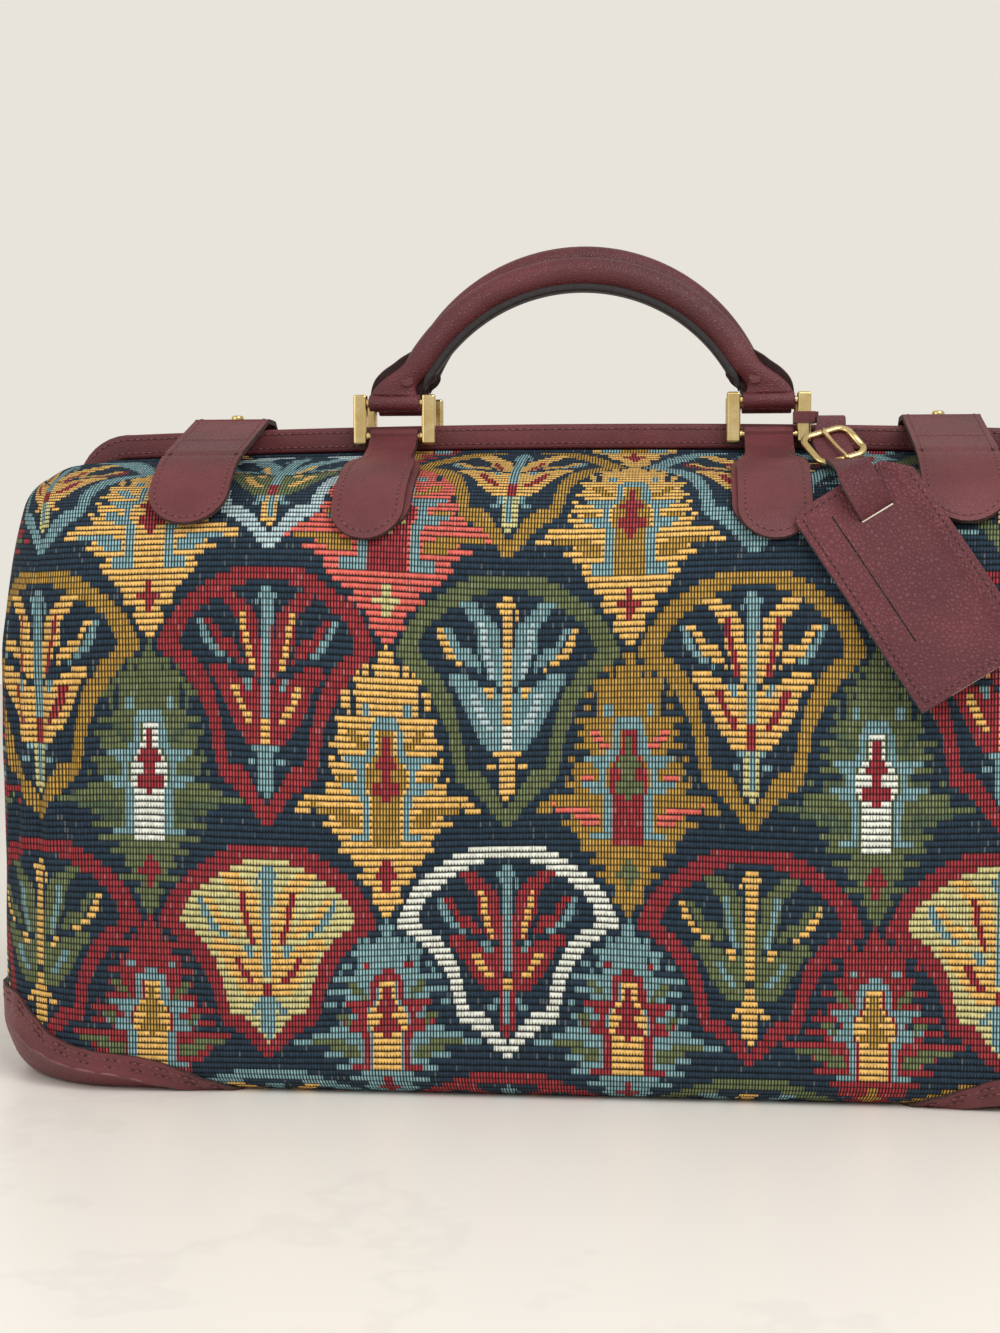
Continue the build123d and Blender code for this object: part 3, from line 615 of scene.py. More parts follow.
def swell(points, around, run):
    """How far the cloth stands off the plain form: swells, ripples at the ends and a nip at the seams."""
    height = points[..., 2]
    around = half_round - np.abs(half_round - np.abs(around))
    face = smooth_step(24, 90, height) * (1 - smooth_step(150, 236, height))
    full = face_fullness * face * (1 - smooth_step(120, 236, around))
    rolls = 2.2 * soft_noise(points, 85.0, 1) + 0.9 * soft_noise(points, 30.0, 2)
    rolls *= smooth_step(20, 60, height) * (1 - 0.75 * smooth_step(205, 250, height))
    end = smooth_step(196, 222, around) * (1 - smooth_step(258, 286, around))
    band = smooth_step(70, 130, height) * (1 - smooth_step(190, 236, height))
    ripple = ripple_height * end * band * np.sin(around * 2 * math.pi / ripple_pitch + 0.02 * height)
    nip = -seam_nip * np.exp(-((around - front_half) / 1.8) ** 2) * smooth_step(16, 40, height)
    past = smooth_step(front_half - 60, front_half + 40, around)
    bulge = end_bulge * past * smooth_step(4, 26, height) * (1 - smooth_step(190, 268, height))
    crease = -frame_crease * np.exp(-((run - 5.0) / 4.0) ** 2)
    return np.maximum(full + rolls, -1.4) + ripple + nip + bulge + crease


def drift(around, run):
    """How far the rows of stitches wander up and down the cloth."""
    wave = 2.0 * np.sin(around / 71 + 1.3) * np.sin(run / 83 + 0.4) + 1.1 * np.sin(around / 33 + run / 57)
    seam = np.abs(np.abs(around) - front_half) * np.abs(np.abs(around) - front_half - 2 * end_half)
    free = smooth_step(4, 60, run) * (1 - smooth_step(cloth_run - 70, cloth_run - 14, run))
    return wave * free * smooth_step(0, 6000, seam)


def cloth_point(around, run, lift, flip):
    """Places off the cloth as it really lies, in the quarter of the bag that the flip names."""
    points = bag_skin(around, run) * flip
    return points + skin_normal(around, run) * flip * (swell(points, around, run) + lift)[..., None]


def dye(mesh, yarns, lengths):
    """Gives each face of a cloth its yarn, and each corner its lengths across and down the cloth."""
    yarn = mesh.attributes.new("yarn", "FLOAT_COLOR", "CORNER")
    yarn.data.foreach_set("color", np.repeat(yarns, 4, axis=0).ravel())
    uv = mesh.uv_layers.new(name="cloth")
    uv.uv.foreach_set("vector", (np.stack(lengths, axis=1) * MM).astype(np.float32).ravel())


def cloth_panel(name, start, stop, columns, replaces, back, shift, moved=0.0):
    """A panel of tapestry between two lengths around the bag."""
    flip = np.array([-1, -1, 1]) if back else np.array([1, 1, 1])

    def lengths(across, down):
        return start + (stop - start) * across, cloth_run * (1 - down)

    def place(across, down):
        around, run = lengths(across, down)
        return cloth_point(around, run + drift(around + moved, run), 0.0, flip)

    mesh, shares = grid_mesh(name, columns, cloth_rows, place)
    middle, corner = face_shares(mesh, shares)
    across, down = lengths(*middle.T)
    dye(mesh, weave(across + moved, down, shift), lengths(*corner.T))
    mesh.uv_layers.new(name="OFBake").uv.foreach_set("vector", corner.astype(np.float32).ravel())
    add_piece(mesh, name, [tapestry], "bag", replaces)


end_stop = front_half + 2 * end_half
cloth_panel("front_cloth", -front_half, front_half, front_columns, ["front_panel"], False, 0)
cloth_panel("back_cloth", -front_half, front_half, front_columns, ["back_panel"], True, 2)
cloth_panel("right_end_cloth", front_half, end_stop, end_columns, ["right_end_panel"], False, 0)
cloth_panel("left_end_cloth", front_half, end_stop, end_columns, ["left_end_panel"], True, 0, -2 * half_round)


# Lining and base
lining_top, lining_depth = 1.0, 3.6


def lining_place(across, down):
    around = (across * 2 - 1) * half_round
    run = lining_top + (edge_run - lining_top) * (1 - down)
    return bag_skin(around, run) - lining_depth * skin_normal(around, run)


def both_sides(mesh):
    """A mesh with a copy of it turned to the back of the bag."""
    bm = bmesh.new()
    bm.from_mesh(mesh)
    copy = bmesh.ops.duplicate(bm, geom=bm.verts[:] + bm.edges[:] + bm.faces[:])["geom"]
    moved = [part for part in copy if isinstance(part, bmesh.types.BMVert)]
    bmesh.ops.rotate(bm, verts=moved, matrix=Matrix.Rotation(math.pi, 3, "Z"))
    bm.to_mesh(mesh)
    bm.free()
    return mesh


lining_mesh = grid_mesh("lining_shell", 120, 60, lining_place)[0]
both_sides(lining_mesh).flip_normals()
add_piece(lining_mesh, "lining_shell", [lining_cloth], "bag", ["lining"])

base_x, base_y, base_z, base_pattern_start = 238.0, 88.0, 0.25, 60


def base_lengths(across, down):
    """Places on the base from its middle."""
    return (across - 0.5) * 2 * base_x, (down - 0.5) * 2 * base_y


def base_place(across, down):
    x, y = base_lengths(across, down)
    return np.stack([x, y, base_z + 0 * x], axis=1)


base_mesh, base_shares = grid_mesh("base_cloth", 120, 60, base_place)
base_middle, base_corners = face_shares(base_mesh, base_shares)
base_across = base_lengths(*base_middle.T)[0]
base_down = base_pattern_start + base_middle[:, 1] * 2 * base_y
dye(base_mesh, weave(base_across, base_down, 1), base_lengths(*base_corners.T))
base_mesh.flip_normals()
add_piece(base_mesh, "base_cloth", [tapestry], "bag", ["base_panel"])


# Straps
def reach_along(line):
    """The length of a line up to each of its points."""
    return np.concatenate([[0], np.cumsum(np.linalg.norm(np.diff(line, axis=0), axis=1))])


def way_along(line):
    """The direction of a line at each of its points."""
    along = np.gradient(line, axis=0)
    return along / np.linalg.norm(along, axis=1, keepdims=True)


def read_along(places, reach, values):
    """Points or directions at places along a line."""
    return np.stack([np.interp(places, reach, values[:, k]) for k in range(3)], axis=-1)


def smooth_line(points, count):
    """Evenly spaced points on a smooth line through given points."""
    points = np.array(points, float)
    ends = np.concatenate([2 * points[:1] - points[1:2], points, 2 * points[-1:] - points[-2:-1]])
    made = []
    share = np.linspace(0, 1, 12, endpoint=False)[:, None]
    for first, start, stop, last in zip(ends, ends[1:], ends[2:], ends[3:]):
        square = 2 * first - 5 * start + 4 * stop - last
        cube = 3 * start - first - 3 * stop + last
        made.append(0.5 * (2 * start + (stop - first) * share + square * share ** 2 + cube * share ** 3))
    line = np.concatenate(made + [points[-1:]])
    reach = reach_along(line)
    return read_along(np.linspace(0, reach[-1], count), reach, line)


class Strap:
    """The middle line of a flat strap, with places along it, beside it and off its face."""

    def __init__(self, points, beside, count=240, last=None):
        self.line = smooth_line(points, count)
        self.reach = reach_along(self.line)
        self.length = self.reach[-1]
        twist = smooth_step(0.4, 0.95, np.linspace(0, 1, count))[:, None]
        last = beside if last is None else last
        self.beside = np.array(beside, float) * (1 - twist) + np.array(last, float) * twist
        along = way_along(self.line)
        self.beside -= along * np.sum(self.beside * along, axis=1, keepdims=True)
        self.beside /= np.linalg.norm(self.beside, axis=1, keepdims=True)
        self.face = np.cross(self.beside, along)

    def at(self, along, aside, off=0.0):
        along, aside = np.asarray(along, float), np.asarray(aside, float)
        rows = (self.line, self.face, self.beside)
        base, face, beside = (read_along(along, self.reach, row) for row in rows)
        return base + aside[..., None] * beside + off * face


def strap_piece(name, strap, alongs, halves, middles, finishes, body, replaces, thickness, columns=8):
    """A flat leather strap whose half width and middle change along its line."""
    stations = np.linspace(0, 1, len(alongs))

    def place(across, down):
        along, half, middle = (np.interp(down, stations, values) for values in (alongs, halves, middles))
        return strap.at(along, middle + (across * 2 - 1) * half)

    mesh = grid_mesh(name, columns, len(alongs) - 1, place)[0]
    thicken(add_piece(mesh, name, finishes, body, replaces), thickness, 1)


def round_end(radius):
    """Lengths from a rounded tip, and the half widths there."""
    turn = np.linspace(0, math.pi / 2, 9)
    return radius * (1 - np.cos(turn)), np.maximum(radius * np.sin(turn), 0.5)


def tip_outline(tip, inset, sides, beside, count):
    """Places up one side of a strap, round its tip and down the other side."""
    turn = np.linspace(0, math.pi, count)
    along = np.concatenate([sides, tip - inset * np.sin(turn), sides[::-1]])
    aside = np.concatenate([-beside, -inset * np.cos(turn), beside[::-1]])
    return along, aside


def side_line(runs, lift, profile=side_profile):
    """Points over the front of the bag, as y and z, at lengths below the frame."""
    runs = np.asarray(runs, float)
    depth, height = profile(runs)
    ahead, behind = profile(runs + 0.5), profile(runs - 0.5)
    down, out = ahead[1] - behind[1], ahead[0] - behind[0]
    size = np.hypot(down, out)
    return np.stack([-(depth - lift * down / size), height + lift * out / size], axis=-1)


def run_at(angle):
    """The length of cloth down to an angle of the shoulder above the horizontal."""
    return slope_run + shoulder * (math.pi / 2 - slope_angle - math.radians(angle))


# lines for thin dark tubes of painted shade along the rows of stitches, sunk a little into the leather
stitch_lists, seam_shade_lines = {}, {}
seam_shade_sink, seam_shade_radius = 0.28, 0.42


def sew(group, places, faces, length=2.5, pitch=3.4, width=0.85):
    """Adds stitches along a line of places, with the direction off the leather at each."""
    places, faces = np.array(places, float), np.array(faces, float)
    # each row of stitches also gets a line just under it for a tube of painted shade
    seam_shade_lines.setdefault(group, []).append(places - seam_shade_sink * faces)
    reach = reach_along(places)
    count = max(int(reach[-1] / pitch), 1)
    for number in range(count):
        middle = (number + 0.5) * reach[-1] / count
        ends = [read_along(middle + way * length / 2, reach, places) for way in (-1, 1)]
        stitch_lists.setdefault(group, []).append((*ends, read_along(middle, reach, faces), width))


def sew_strap(group, strap, along, aside, off):
    """Adds stitches on the face of a strap."""
    places = strap.at(along, aside, off)
    sew(group, places, strap.at(along, aside, off + 1.0) - places)


def side_way(side):
    return 1 if side == "front" else -1


def turned(points, side):
    """The same points on the back of the bag, turned about the upright axis."""
    return points if side == "front" else points * np.array([-1, -1, 1])


END_WAYS = (("left", -1), ("right", 1))
CORNERS = [(side, end, way) for side in ("front", "back") for end, way in END_WAYS]

# Chapes that hold the rings
chape_tip, chape_under_tip = run_at(24.0), run_at(27.0)
chape_half, neck_half, chape_slope_half = 16.0, 11.3, 14.6
chape_neck, chape_under, chape_inset, chape_shift = 97.0, 93.0, 3.2, 2.5
pin_wrap = 2.6
for side, end, way in CORNERS:
    face_line = side_line(np.linspace(chape_tip, 15, 40), 3.3)
    under_line = side_line(np.linspace(15, chape_under_tip, 40), 1.3)
    pin_loop = [(-ring_y + pin_wrap * math.cos(turn), lower_pin + pin_wrap * math.sin(turn))
                for turn in np.radians([205, 160, 115, 70, 25, -20, -65, -110])]
    middle_x = way * ring_x * side_way(side)
    line = turned(np.array([(middle_x, y, z) for y, z in (*face_line, *pin_loop, *under_line)]), side)
    strap = Strap(line, (side_way(side), 0, 0), 320)
    loop_end = strap.length - chape_under
    tip_length, tip_half = round_end(chape_half)
    alongs = np.concatenate([
        tip_length, np.linspace(22, chape_neck - 16, 18), np.linspace(chape_neck - 14, loop_end + 14, 34),
        np.linspace(loop_end + 16, strap.length - 22, 18), strap.length - tip_length[::-1],
    ])
    widths = (
        [0, chape_neck - 42, chape_neck - 29, chape_neck - 15,
         loop_end + 15, loop_end + 29, loop_end + 42, strap.length],
        [chape_half, chape_half, chape_slope_half, neck_half,
         neck_half, chape_slope_half, chape_half, chape_half],
    )
    halves = np.interp(alongs, *widths)
    halves[:len(tip_half)] = tip_half
    halves[-len(tip_half):] = tip_half[::-1]
    middles = -chape_shift * way * smooth_step(loop_end, loop_end + 30, alongs)
    strap_piece(f"{side}_{end}_chape_strap", strap, alongs, halves, middles, [strap_leather, raw_edge], "bag",
                [f"{side}_{end}_chape"], 2.0)
    sides = np.linspace(chape_neck - 12, chape_half, 30)
    beside = np.interp(sides, *widths) - chape_inset
    sew_strap("chapes", strap, *tip_outline(chape_half, chape_half - chape_inset, sides, beside, 24), 1.0)

# Snap tabs
tab_half, tab_lift, tab_inset, tab_cross = 18.0, 3.5, 15.4, 79.0
tab_leave, tab_back_start, tab_back_lift = run_at(71.1), 34.0, 2.4
tab_rise = [(-12.2, 302.4), (-9.6, 303.9), (-6.4, 304.3), (0.0, 304.3)]
tab_over = tab_rise + [(-y, z) for y, z in tab_rise[-2::-1]]
for end, way in END_WAYS:
    front = side_line(np.linspace(run_at(30.0), tab_leave, 26), tab_lift, plain_profile)
    back_runs = np.linspace(tab_back_start, run_at(57.0), 8)
    back = cloth_point(np.full(8, tab_x), back_runs, tab_back_lift, np.array([way, -1, 1]))[:, 1:]
    strap = Strap([(way * tab_x, y, z) for y, z in (*front, *tab_over, *back)], (1, 0, 0), 260)
    tip_length, tip_half = round_end(tab_half)
    alongs = np.concatenate([tip_length, np.linspace(21, strap.length, 54)])
    halves = np.concatenate([tip_half, np.full(54, tab_half)])
    strap_piece(f"{end}_tab_strap", strap, alongs, halves, 0 * alongs, [strap_leather, raw_edge], "bag",
                [f"{end}_snap_tab"], 2.4)
    sides = np.linspace(strap.length - 3, tab_half, 60)
    sew_strap("tabs", strap, *tip_outline(tab_half, tab_inset, sides, np.full(60, tab_inset), 26), 1.2)
    sew_strap("tabs", strap, np.full(20, tab_cross), np.linspace(-tab_inset, tab_inset, 20), 1.2)


# Frame strips
frame_reach, frame_corner, frame_end = 247.0, 26.0, 258.0


def frame_line(inset):
    """Points of the frame's outline in X and Z, moved inwards, from one hinge end to the other."""
    reach, radius = frame_reach - inset, frame_corner - inset
    side = frame_top - inset - crown - radius + 1.1
    corner = [(reach - radius + radius * math.cos(turn), side + radius * math.sin(turn))
              for turn in np.linspace(0, math.pi / 2 - 0.06, 10)]
    top_x = np.linspace(reach - radius - 2, 0, 40)[:, None]
    top = np.concatenate([top_x, frame_top - inset - crown * (top_x / frame_reach) ** 2], axis=1)
    half = np.concatenate([[(reach, frame_end), (reach, (frame_end + side) / 2)], corner, top])
    return np.concatenate([half, half[-2::-1] * np.array([-1, 1])])


def swept(rings):
    """A closed skin through rings of points, with both ends filled."""
    bm = bmesh.new()
    loop = [bm.verts.new(point * MM) for point in rings[0]]
    edges = [bm.edges.new((a, b)) for a, b in zip(loop, loop[1:] + loop[:1])]
    bm.faces.new(loop)
    for ring in rings[1:]:
        made = bmesh.ops.extrude_edge_only(bm, edges=edges)["geom"]
        old = {v: k for k, v in enumerate(loop)}
        fresh = [part for part in made if isinstance(part, bmesh.types.BMVert)]
        order = [None] * len(loop)
        for vert in fresh:
            mate = next(edge.other_vert(vert) for edge in vert.link_edges if edge.other_vert(vert) in old)
            order[old[mate]] = vert
        for vert, point in zip(order, ring):
            vert.co = point * MM
        loop = order
        edges = [bm.edges.get((a, b)) for a, b in zip(loop, loop[1:] + loop[:1])]
    bm.faces.new(loop)
    bmesh.ops.recalc_face_normals(bm, faces=bm.faces[:])
    return bm


def round_box(half_x, half_y, radius, steps=4):
    """Corner points of a rounded rectangle."""
    points = []
    for corner, (sx, sy) in enumerate(((1, 1), (-1, 1), (-1, -1), (1, -1))):
        for turn in np.linspace(0, math.pi / 2, steps):
            turn += corner * math.pi / 2
            x = sx * (half_x - radius) + radius * math.cos(turn)
            y = sy * (half_y - radius) + radius * math.sin(turn)
            points.append((x, y))
    return np.array(points)


strip_section = round_box(6.0, 4.6, 1.7)
strip_y, strip_face_y = -4.8, -9.4
for side in ("front", "back"):
    line = frame_line(6.0)
    rings = []
    for (x, z), (ax, az) in zip(line, way_along(line)):
        ring = [(x + p * az, strip_y + q, z - p * ax) for p, q in strip_section]
        rings.append(turned(np.array(ring), side))
    new_piece(swept(rings), f"{side}_frame_strip", [strap_leather], "bag", [f"{side}_jaw_cover"])
    for inset in (2.6, 9.2):
        row = frame_line(inset)[6:-6]
        places = turned(np.array([(x, strip_face_y, z) for x, z in row]), side)
        sew("frame_strips", places, turned(np.array([(0, -1, 0)] * len(row)), side))


seam_across = (0.31, 0.17, 0.93)


def tube(line, radius, across, count):
    """A round cord of leather or wire through points, its rings set out from a direction across it."""
    line = np.array(line, float)
    radius = np.broadcast_to(radius, len(line))
    across = np.array(across, float)
    turn = np.linspace(0, 2 * math.pi, count, endpoint=False)[:, None]
    rings = []
    for point, way, size in zip(line, way_along(line), radius):
        side = np.cross(way, across)
        side /= np.linalg.norm(side)
        up = np.cross(side, way)
        rings.append(point + size * (np.cos(turn) * side + np.sin(turn) * up))
    return swept(rings)


def join(bm, other):
    """Adds one bmesh to another."""
    scratch = bpy.data.meshes.new("scratch")
    other.to_mesh(scratch)
    other.free()
    bm.from_mesh(scratch)
    bpy.data.meshes.remove(scratch)


def soften(bm, edges, width, segments):
    """Rounds edges of a bmesh."""
    bmesh.ops.bevel(bm, geom=edges, offset=width * MM, segments=segments, profile=0.5, affect="EDGES",
                    material=-1)


def peg(bm, matrix, radius, length, rim, segments):
    """Adds a cylinder with rounded rims."""
    made = bmesh.ops.create_cone(bm, segments=24, cap_ends=True, radius1=radius, radius2=radius,
                                 depth=length, matrix=matrix)
    rims = [edge for edge in {e for v in made["verts"] for e in v.link_edges}
            if any(len(face.verts) > 4 for face in edge.link_faces)]
    soften(bm, rims, rim, segments)


# Handles
handle_flare, handle_radius = 26.0, 7.0
loop_half, loop_deep, loop_radius, loop_wall = 12.0, 2.9, 2.75, 1.2
rivet_share, rivet_radius = 0.46, 3.0


def handle_half(share):
    """Half width of a handle, from the loop round its pin to its round part."""
    return loop_half + (handle_radius - loop_half) * smooth_step(0.0, 0.72, share)


def handle_piece(side, rise, lean):
    """A rolled handle: a round tube that flattens into loops round the upper pins."""
    toward = -side_way(side)
    body = f"{side}_carry_handle"
    bend = (ring_x ** 2 + rise ** 2 - handle_flare ** 2) / (2 * rise)
    middle = rise - bend
    half_turn = math.atan2(ring_x, -middle) - math.acos(bend / math.hypot(ring_x, middle))
    tilt = Matrix.Rotation(toward * math.radians(lean), 4, "X")
    seat = Matrix.Translation((0, toward * ring_y, upper_pin)) @ tilt

    def seated(points):
        return np.array([seat @ Vector(p) for p in points])

    def arch(turn):
        return Vector((bend * math.sin(turn), 0, middle + bend * math.cos(turn)))

    stations = []
    start = arch(half_turn)
    foot = Vector((ring_x, 0, 0))
    for share in np.linspace(0.13, 1, 16):
        stations.append((foot.lerp(start, share), half_turn, share))
    for turn in np.linspace(half_turn, -half_turn, 72)[1:-1]:
        stations.append((arch(turn), turn, 1.0))
    foot.x, start.x = -foot.x, -start.x
    for share in np.linspace(1, 0.13, 16):
        stations.append((foot.lerp(start, share), -half_turn, share))

    rings, flares = [], {1: [], -1: []}
    angles = np.linspace(0, 2 * math.pi, 28, endpoint=False)
    cos, sin = np.cos(angles), np.sin(angles)
    for place, turn, share in stations:
        deep = loop_deep + (handle_radius - loop_deep) * smooth_step(0.08, 1.0, share)
        power = 2 / (3.0 - smooth_step(0.0, 0.7, share))
        out = handle_half(share) * np.sign(cos) * np.abs(cos) ** power
        aside = deep * np.sign(sin) * np.abs(sin) ** power
        full = smooth_step(0.0, 1.15, share) if share < 1 else 1.0
        way = math.copysign(1, turn)
        middle_x = place.x + (way * ring_x - place.x) * (1 - smooth_step(0.0, 0.75, full))
        lean_x, lean_z = math.sin(turn) * full + way * (1 - full), math.cos(turn) * full
        rings.append(seated([(middle_x + o * lean_x, a, place.z + o * lean_z) for o, a in zip(out, aside)]))
        if abs(turn) == half_turn:
            flares[way].append((share, middle_x, place.z, lean_x, lean_z))
    bm = swept(rings)

    loop_section = round_box(loop_half, loop_wall, 0.5, 3)
    for end, way in END_WAYS:
        loop_rings = []
        for turn in np.linspace(0, 2 * math.pi, 24, endpoint=False):
            y, z = math.cos(turn), math.sin(turn)
            loop = [(way * ring_x + p, (loop_radius + q) * y, (loop_radius + q) * z) for p, q in loop_section]
            loop_rings.append(seated(loop))
        join(bm, swept(loop_rings + loop_rings[:1]))
        flare = np.array(sorted(flares[way]))

        def flap_place(across, down):
            share = 0.1 + 0.9 * down
            values = (np.interp(share, flare[:, 0], flare[:, k]) for k in range(1, 5))
            middle_x, height, lean_x, lean_z = values
            half = np.interp(share, [0, 0.42, 0.58, 0.78, 1.0], [11.9, 12.5, 12.4, 10.4, 6.4])
            out = (across * 2 - 1) * half
            off = 2.7 - 2.6 * (across * 2 - 1) ** 2 * smooth_step(0.2, 0.5, share)
            return seated(np.stack([middle_x + out * lean_x, -toward * off, height + out * lean_z], axis=1))

        flap_name = f"{side}_{end}_handle_flap"
        flap_mesh = grid_mesh(flap_name, 12, 18, flap_place)[0]
        thicken(add_piece(flap_mesh, flap_name, [flesh_side, raw_edge], body), 1.6, 1)
    new_piece(bm, f"{side}_rolled_handle", [handle_leather], body, [f"{side}_handle"])

    strip_rings = []
    for place, turn, share in stations:
        if share < 0.45:
            continue
        size = smooth_step(0.3, 0.8, share)
        section = round_box(1.9 * size, 3.6 * size, 0.9 * size, 3)
        inner = [-(handle_half(share) + 0.4 * size) + p for p, q in section]
        strip_rings.append(seated([(place.x + o * math.sin(turn), q, place.z + o * math.cos(turn))
                                   for o, (p, q) in zip(inner, section)]))
    new_piece(swept(strip_rings), f"{side}_seam_strip", [dark_leather], body,
              [f"{side}_handle_strip"])

    heads, caps = bmesh.new(), bmesh.new()
    for way in (-1, 1):
        rivet_x = way * (ring_x + (abs(start.x) - ring_x) * rivet_share)
        for group, off, thick in ((heads, -toward * 4.6, 2.6), (caps, toward * 4.2, 0.9)):
            place = Matrix.Translation((rivet_x, off, start.z * rivet_share))
            matrix = Matrix.Scale(MM, 4) @ seat @ place @ Matrix.Rotation(math.pi / 2, 4, "X")
            peg(group, matrix, rivet_radius, thick, 0.4, 3)
    new_piece(heads, f"{side}_rivet_heads", [brass], body, [f"{side}_handle_rivets"])
    new_piece(caps, f"{side}_rivet_caps", [handle_leather], body)


handle_piece("front", 62.0, 5.0)
handle_piece("back", 70.0, 7.0)

# Rings
bar_aside, bar_size, bar_edge = 16.5, (6.5, 5.0, 24.0), 1.1
pin_radius, pin_length, collar_aside, collar_radius, collar_length = 1.5, 38.6, 12.75, 2.1, 1.2


def bar(bm, place, size, rim):
    """Adds a bar with rounded edges."""
    matrix = Matrix.Translation(Vector(place) * MM) @ Matrix.Diagonal((*[MM * part for part in size], 1))
    made = bmesh.ops.create_cube(bm, size=1.0, matrix=matrix)
    soften(bm, list({edge for vert in made["verts"] for edge in vert.link_edges}), rim, 3)


def pin(bm, place, radius, length):
    """Adds a pin along the bag's length."""
    matrix = Matrix.Translation(Vector(place) * MM) @ Matrix.Rotation(math.pi / 2, 4, "Y")
    peg(bm, matrix, radius * MM, length * MM, 0.25, 2)


for side, end, way in CORNERS:
    x, y = way * ring_x, -side_way(side) * ring_y
    bars, pins = bmesh.new(), bmesh.new()
    for aside in (-bar_aside, bar_aside):
        bar(bars, (x + aside, y, (lower_pin + upper_pin) / 2), bar_size, bar_edge)
    for height in (lower_pin, upper_pin):
        pin(pins, (x, y, height), pin_radius, pin_length)
        for aside in (-collar_aside, collar_aside):
            pin(pins, (x + aside, y, height), collar_radius, collar_length)
    body = f"{side}_{end}_ring"
    new_piece(bars, f"{body}_brass_bars", [brass], body, [f"{body}_bars"], smooth=False)
    new_piece(pins, f"{body}_brass_pins", [brass], body, [f"{body}_pins"], smooth=False)

# Corner patches: share along the upper edge, its height and the drop from it to the fold
patch_line = smooth_line([
    (0, 41, 18), (0.09, 34, 16.5), (0.16, 28, 13), (0.23, 23.6, 10.8), (0.335, 20, 9), (0.44, 18, 8.3),
    (0.54, 17, 9), (0.65, 15, 10.8), (0.755, 11.5, 10), (0.86, 7, 10), (0.93, 3.7, 10), (1, 0, 10),
], 80)
patch_reach, patch_wrap, patch_past_seam = 113.0, 37.0, 14.0
patch_start = half_length - patch_reach
patch_stop = half_round - patch_wrap
patch_floor = 0.9


def patch_value(around, column):
    """The patch's height or fold drop, from the end's side of the seam to the tip of its upper edge."""
    past_seam = front_half + patch_past_seam
    share = np.clip((past_seam - around) / (past_seam - patch_start), 0, 1)
    return np.interp(share, patch_line[:, 0], patch_line[:, column])


def patch_top(around):
    """Length of cloth from the frame down to the upper edge of a corner patch."""
    high = patch_value(around, 1)
    arc = base_edge * np.arcsin(np.clip((base_edge - high) / base_edge, 0, 1))
    return np.where(high > base_edge, shoulder_run + shoulder_z - high, side_run + arc)


welts = bmesh.new()
for side, end, way in CORNERS:
    flip = np.array([way, side_way(side), 1])

    def patch_place(across, down):
        around = patch_start + (patch_stop - patch_start) * across
        top = patch_top(around)
        run = top + (edge_run + 4.0 - top) * (1 - down)
        pucker = 0.35 * np.sin(around * 0.55) * np.exp(-((run - top) / 9.0) ** 2)
        past = run - top - patch_value(around, 2)
        fold = 1.4 * np.exp(-(past / 1.8) ** 2) - 0.5 * smooth_step(0, 6, past)
        fold *= 1 - smooth_step(front_half + 4, front_half + 26, around)
        points = cloth_point(around, run, 1.0 + pucker + fold, flip)
        points[:, 2] = np.maximum(points[:, 2], patch_floor)
        return points

    patch_name = f"{side}_{end}_leather_corner"
    patch_mesh = grid_mesh(patch_name, 84, 44, patch_place)[0]
    if way * side_way(side) < 0:
        patch_mesh.flip_normals()
    piece = add_piece(patch_mesh, patch_name, [strap_leather, raw_edge], "bag",
                      [f"{side}_{end}_corner_patch"])
    thicken(piece, 1.6, 1)
    # the welt along each patch's fold is paler leather: partly rubbed wear, partly a painted highlight where
    # the fold catches the light
    around = np.linspace(patch_start + 30, front_half + 12, 60)
    run = patch_top(around) + patch_value(around, 2)
    thick = np.interp(np.linspace(0, 1, 60), [0, 0.2, 0.8, 1], [0.3, 0.75, 0.85, 0.3])
    join(welts, tube(cloth_point(around, run, 2.5, flip), thick, seam_across, 8))
    around = np.linspace(patch_start + 10, patch_stop - 1.0, 120)
    for below in (2.6, 5.8):
        run = patch_top(around) + below
        sew("patches", cloth_point(around, run, 1.85, flip), skin_normal(around, run) * flip)
new_piece(welts, "corner_welts", [rubbed_and_highlight_leather], "bag")

# Name tag
tag_turn, tag_tilt = math.radians(32.2), math.radians(14.0)
tag_down = np.array([0, -math.sin(tag_tilt), -math.cos(tag_tilt)])
tag_face = np.array([0, -math.cos(tag_tilt), math.sin(tag_tilt)])
tag_along = tag_down * math.cos(tag_turn) + np.array([math.sin(tag_turn), 0, 0])
tag_aside = np.cross(tag_face, tag_along)
tag_from = np.array([131.0, -105.15, 256.0])
tag_top, tag_end, tag_left, tag_right, tag_cut, left_cut = -18.0, 83.0, -31.0, 24.0, 10.0, 4.0
tag_columns = [tag_left, -28, -24, -20, -17.25, -16.75, -12, -8, -4, 0, 4, 8, 12, 15.6, 16.4, 20, tag_right]
tag_rows = [tag_top, -14, -11, -8, -4, -0.7, 0.7, 4, 8, 14, 20, 26, 32, 38, 44, 50, 56, 62, 69, 74, 78,
            tag_end]


def tag_point(along, aside, off):
    """Places on the tag, from the middle of its slot."""
    along, aside, off = np.broadcast_arrays(along, aside, off)
    return tag_from + along[..., None] * tag_along + aside[..., None] * tag_aside + off[..., None] * tag_face


def tag_curl(along, aside):
    """The tag's soft lift: its lower corners and edges bend a little off the bag."""
    return 1.1 * smooth_step(30, 83, along) * smooth_step(0, 30, np.abs(aside)) + 0.5 * np.sin(along * 0.06)


def band_rise(aside):
    """How far the band along the tag's right side stands up."""
    return 0.55 * smooth_step(15.7, 16.3, aside)


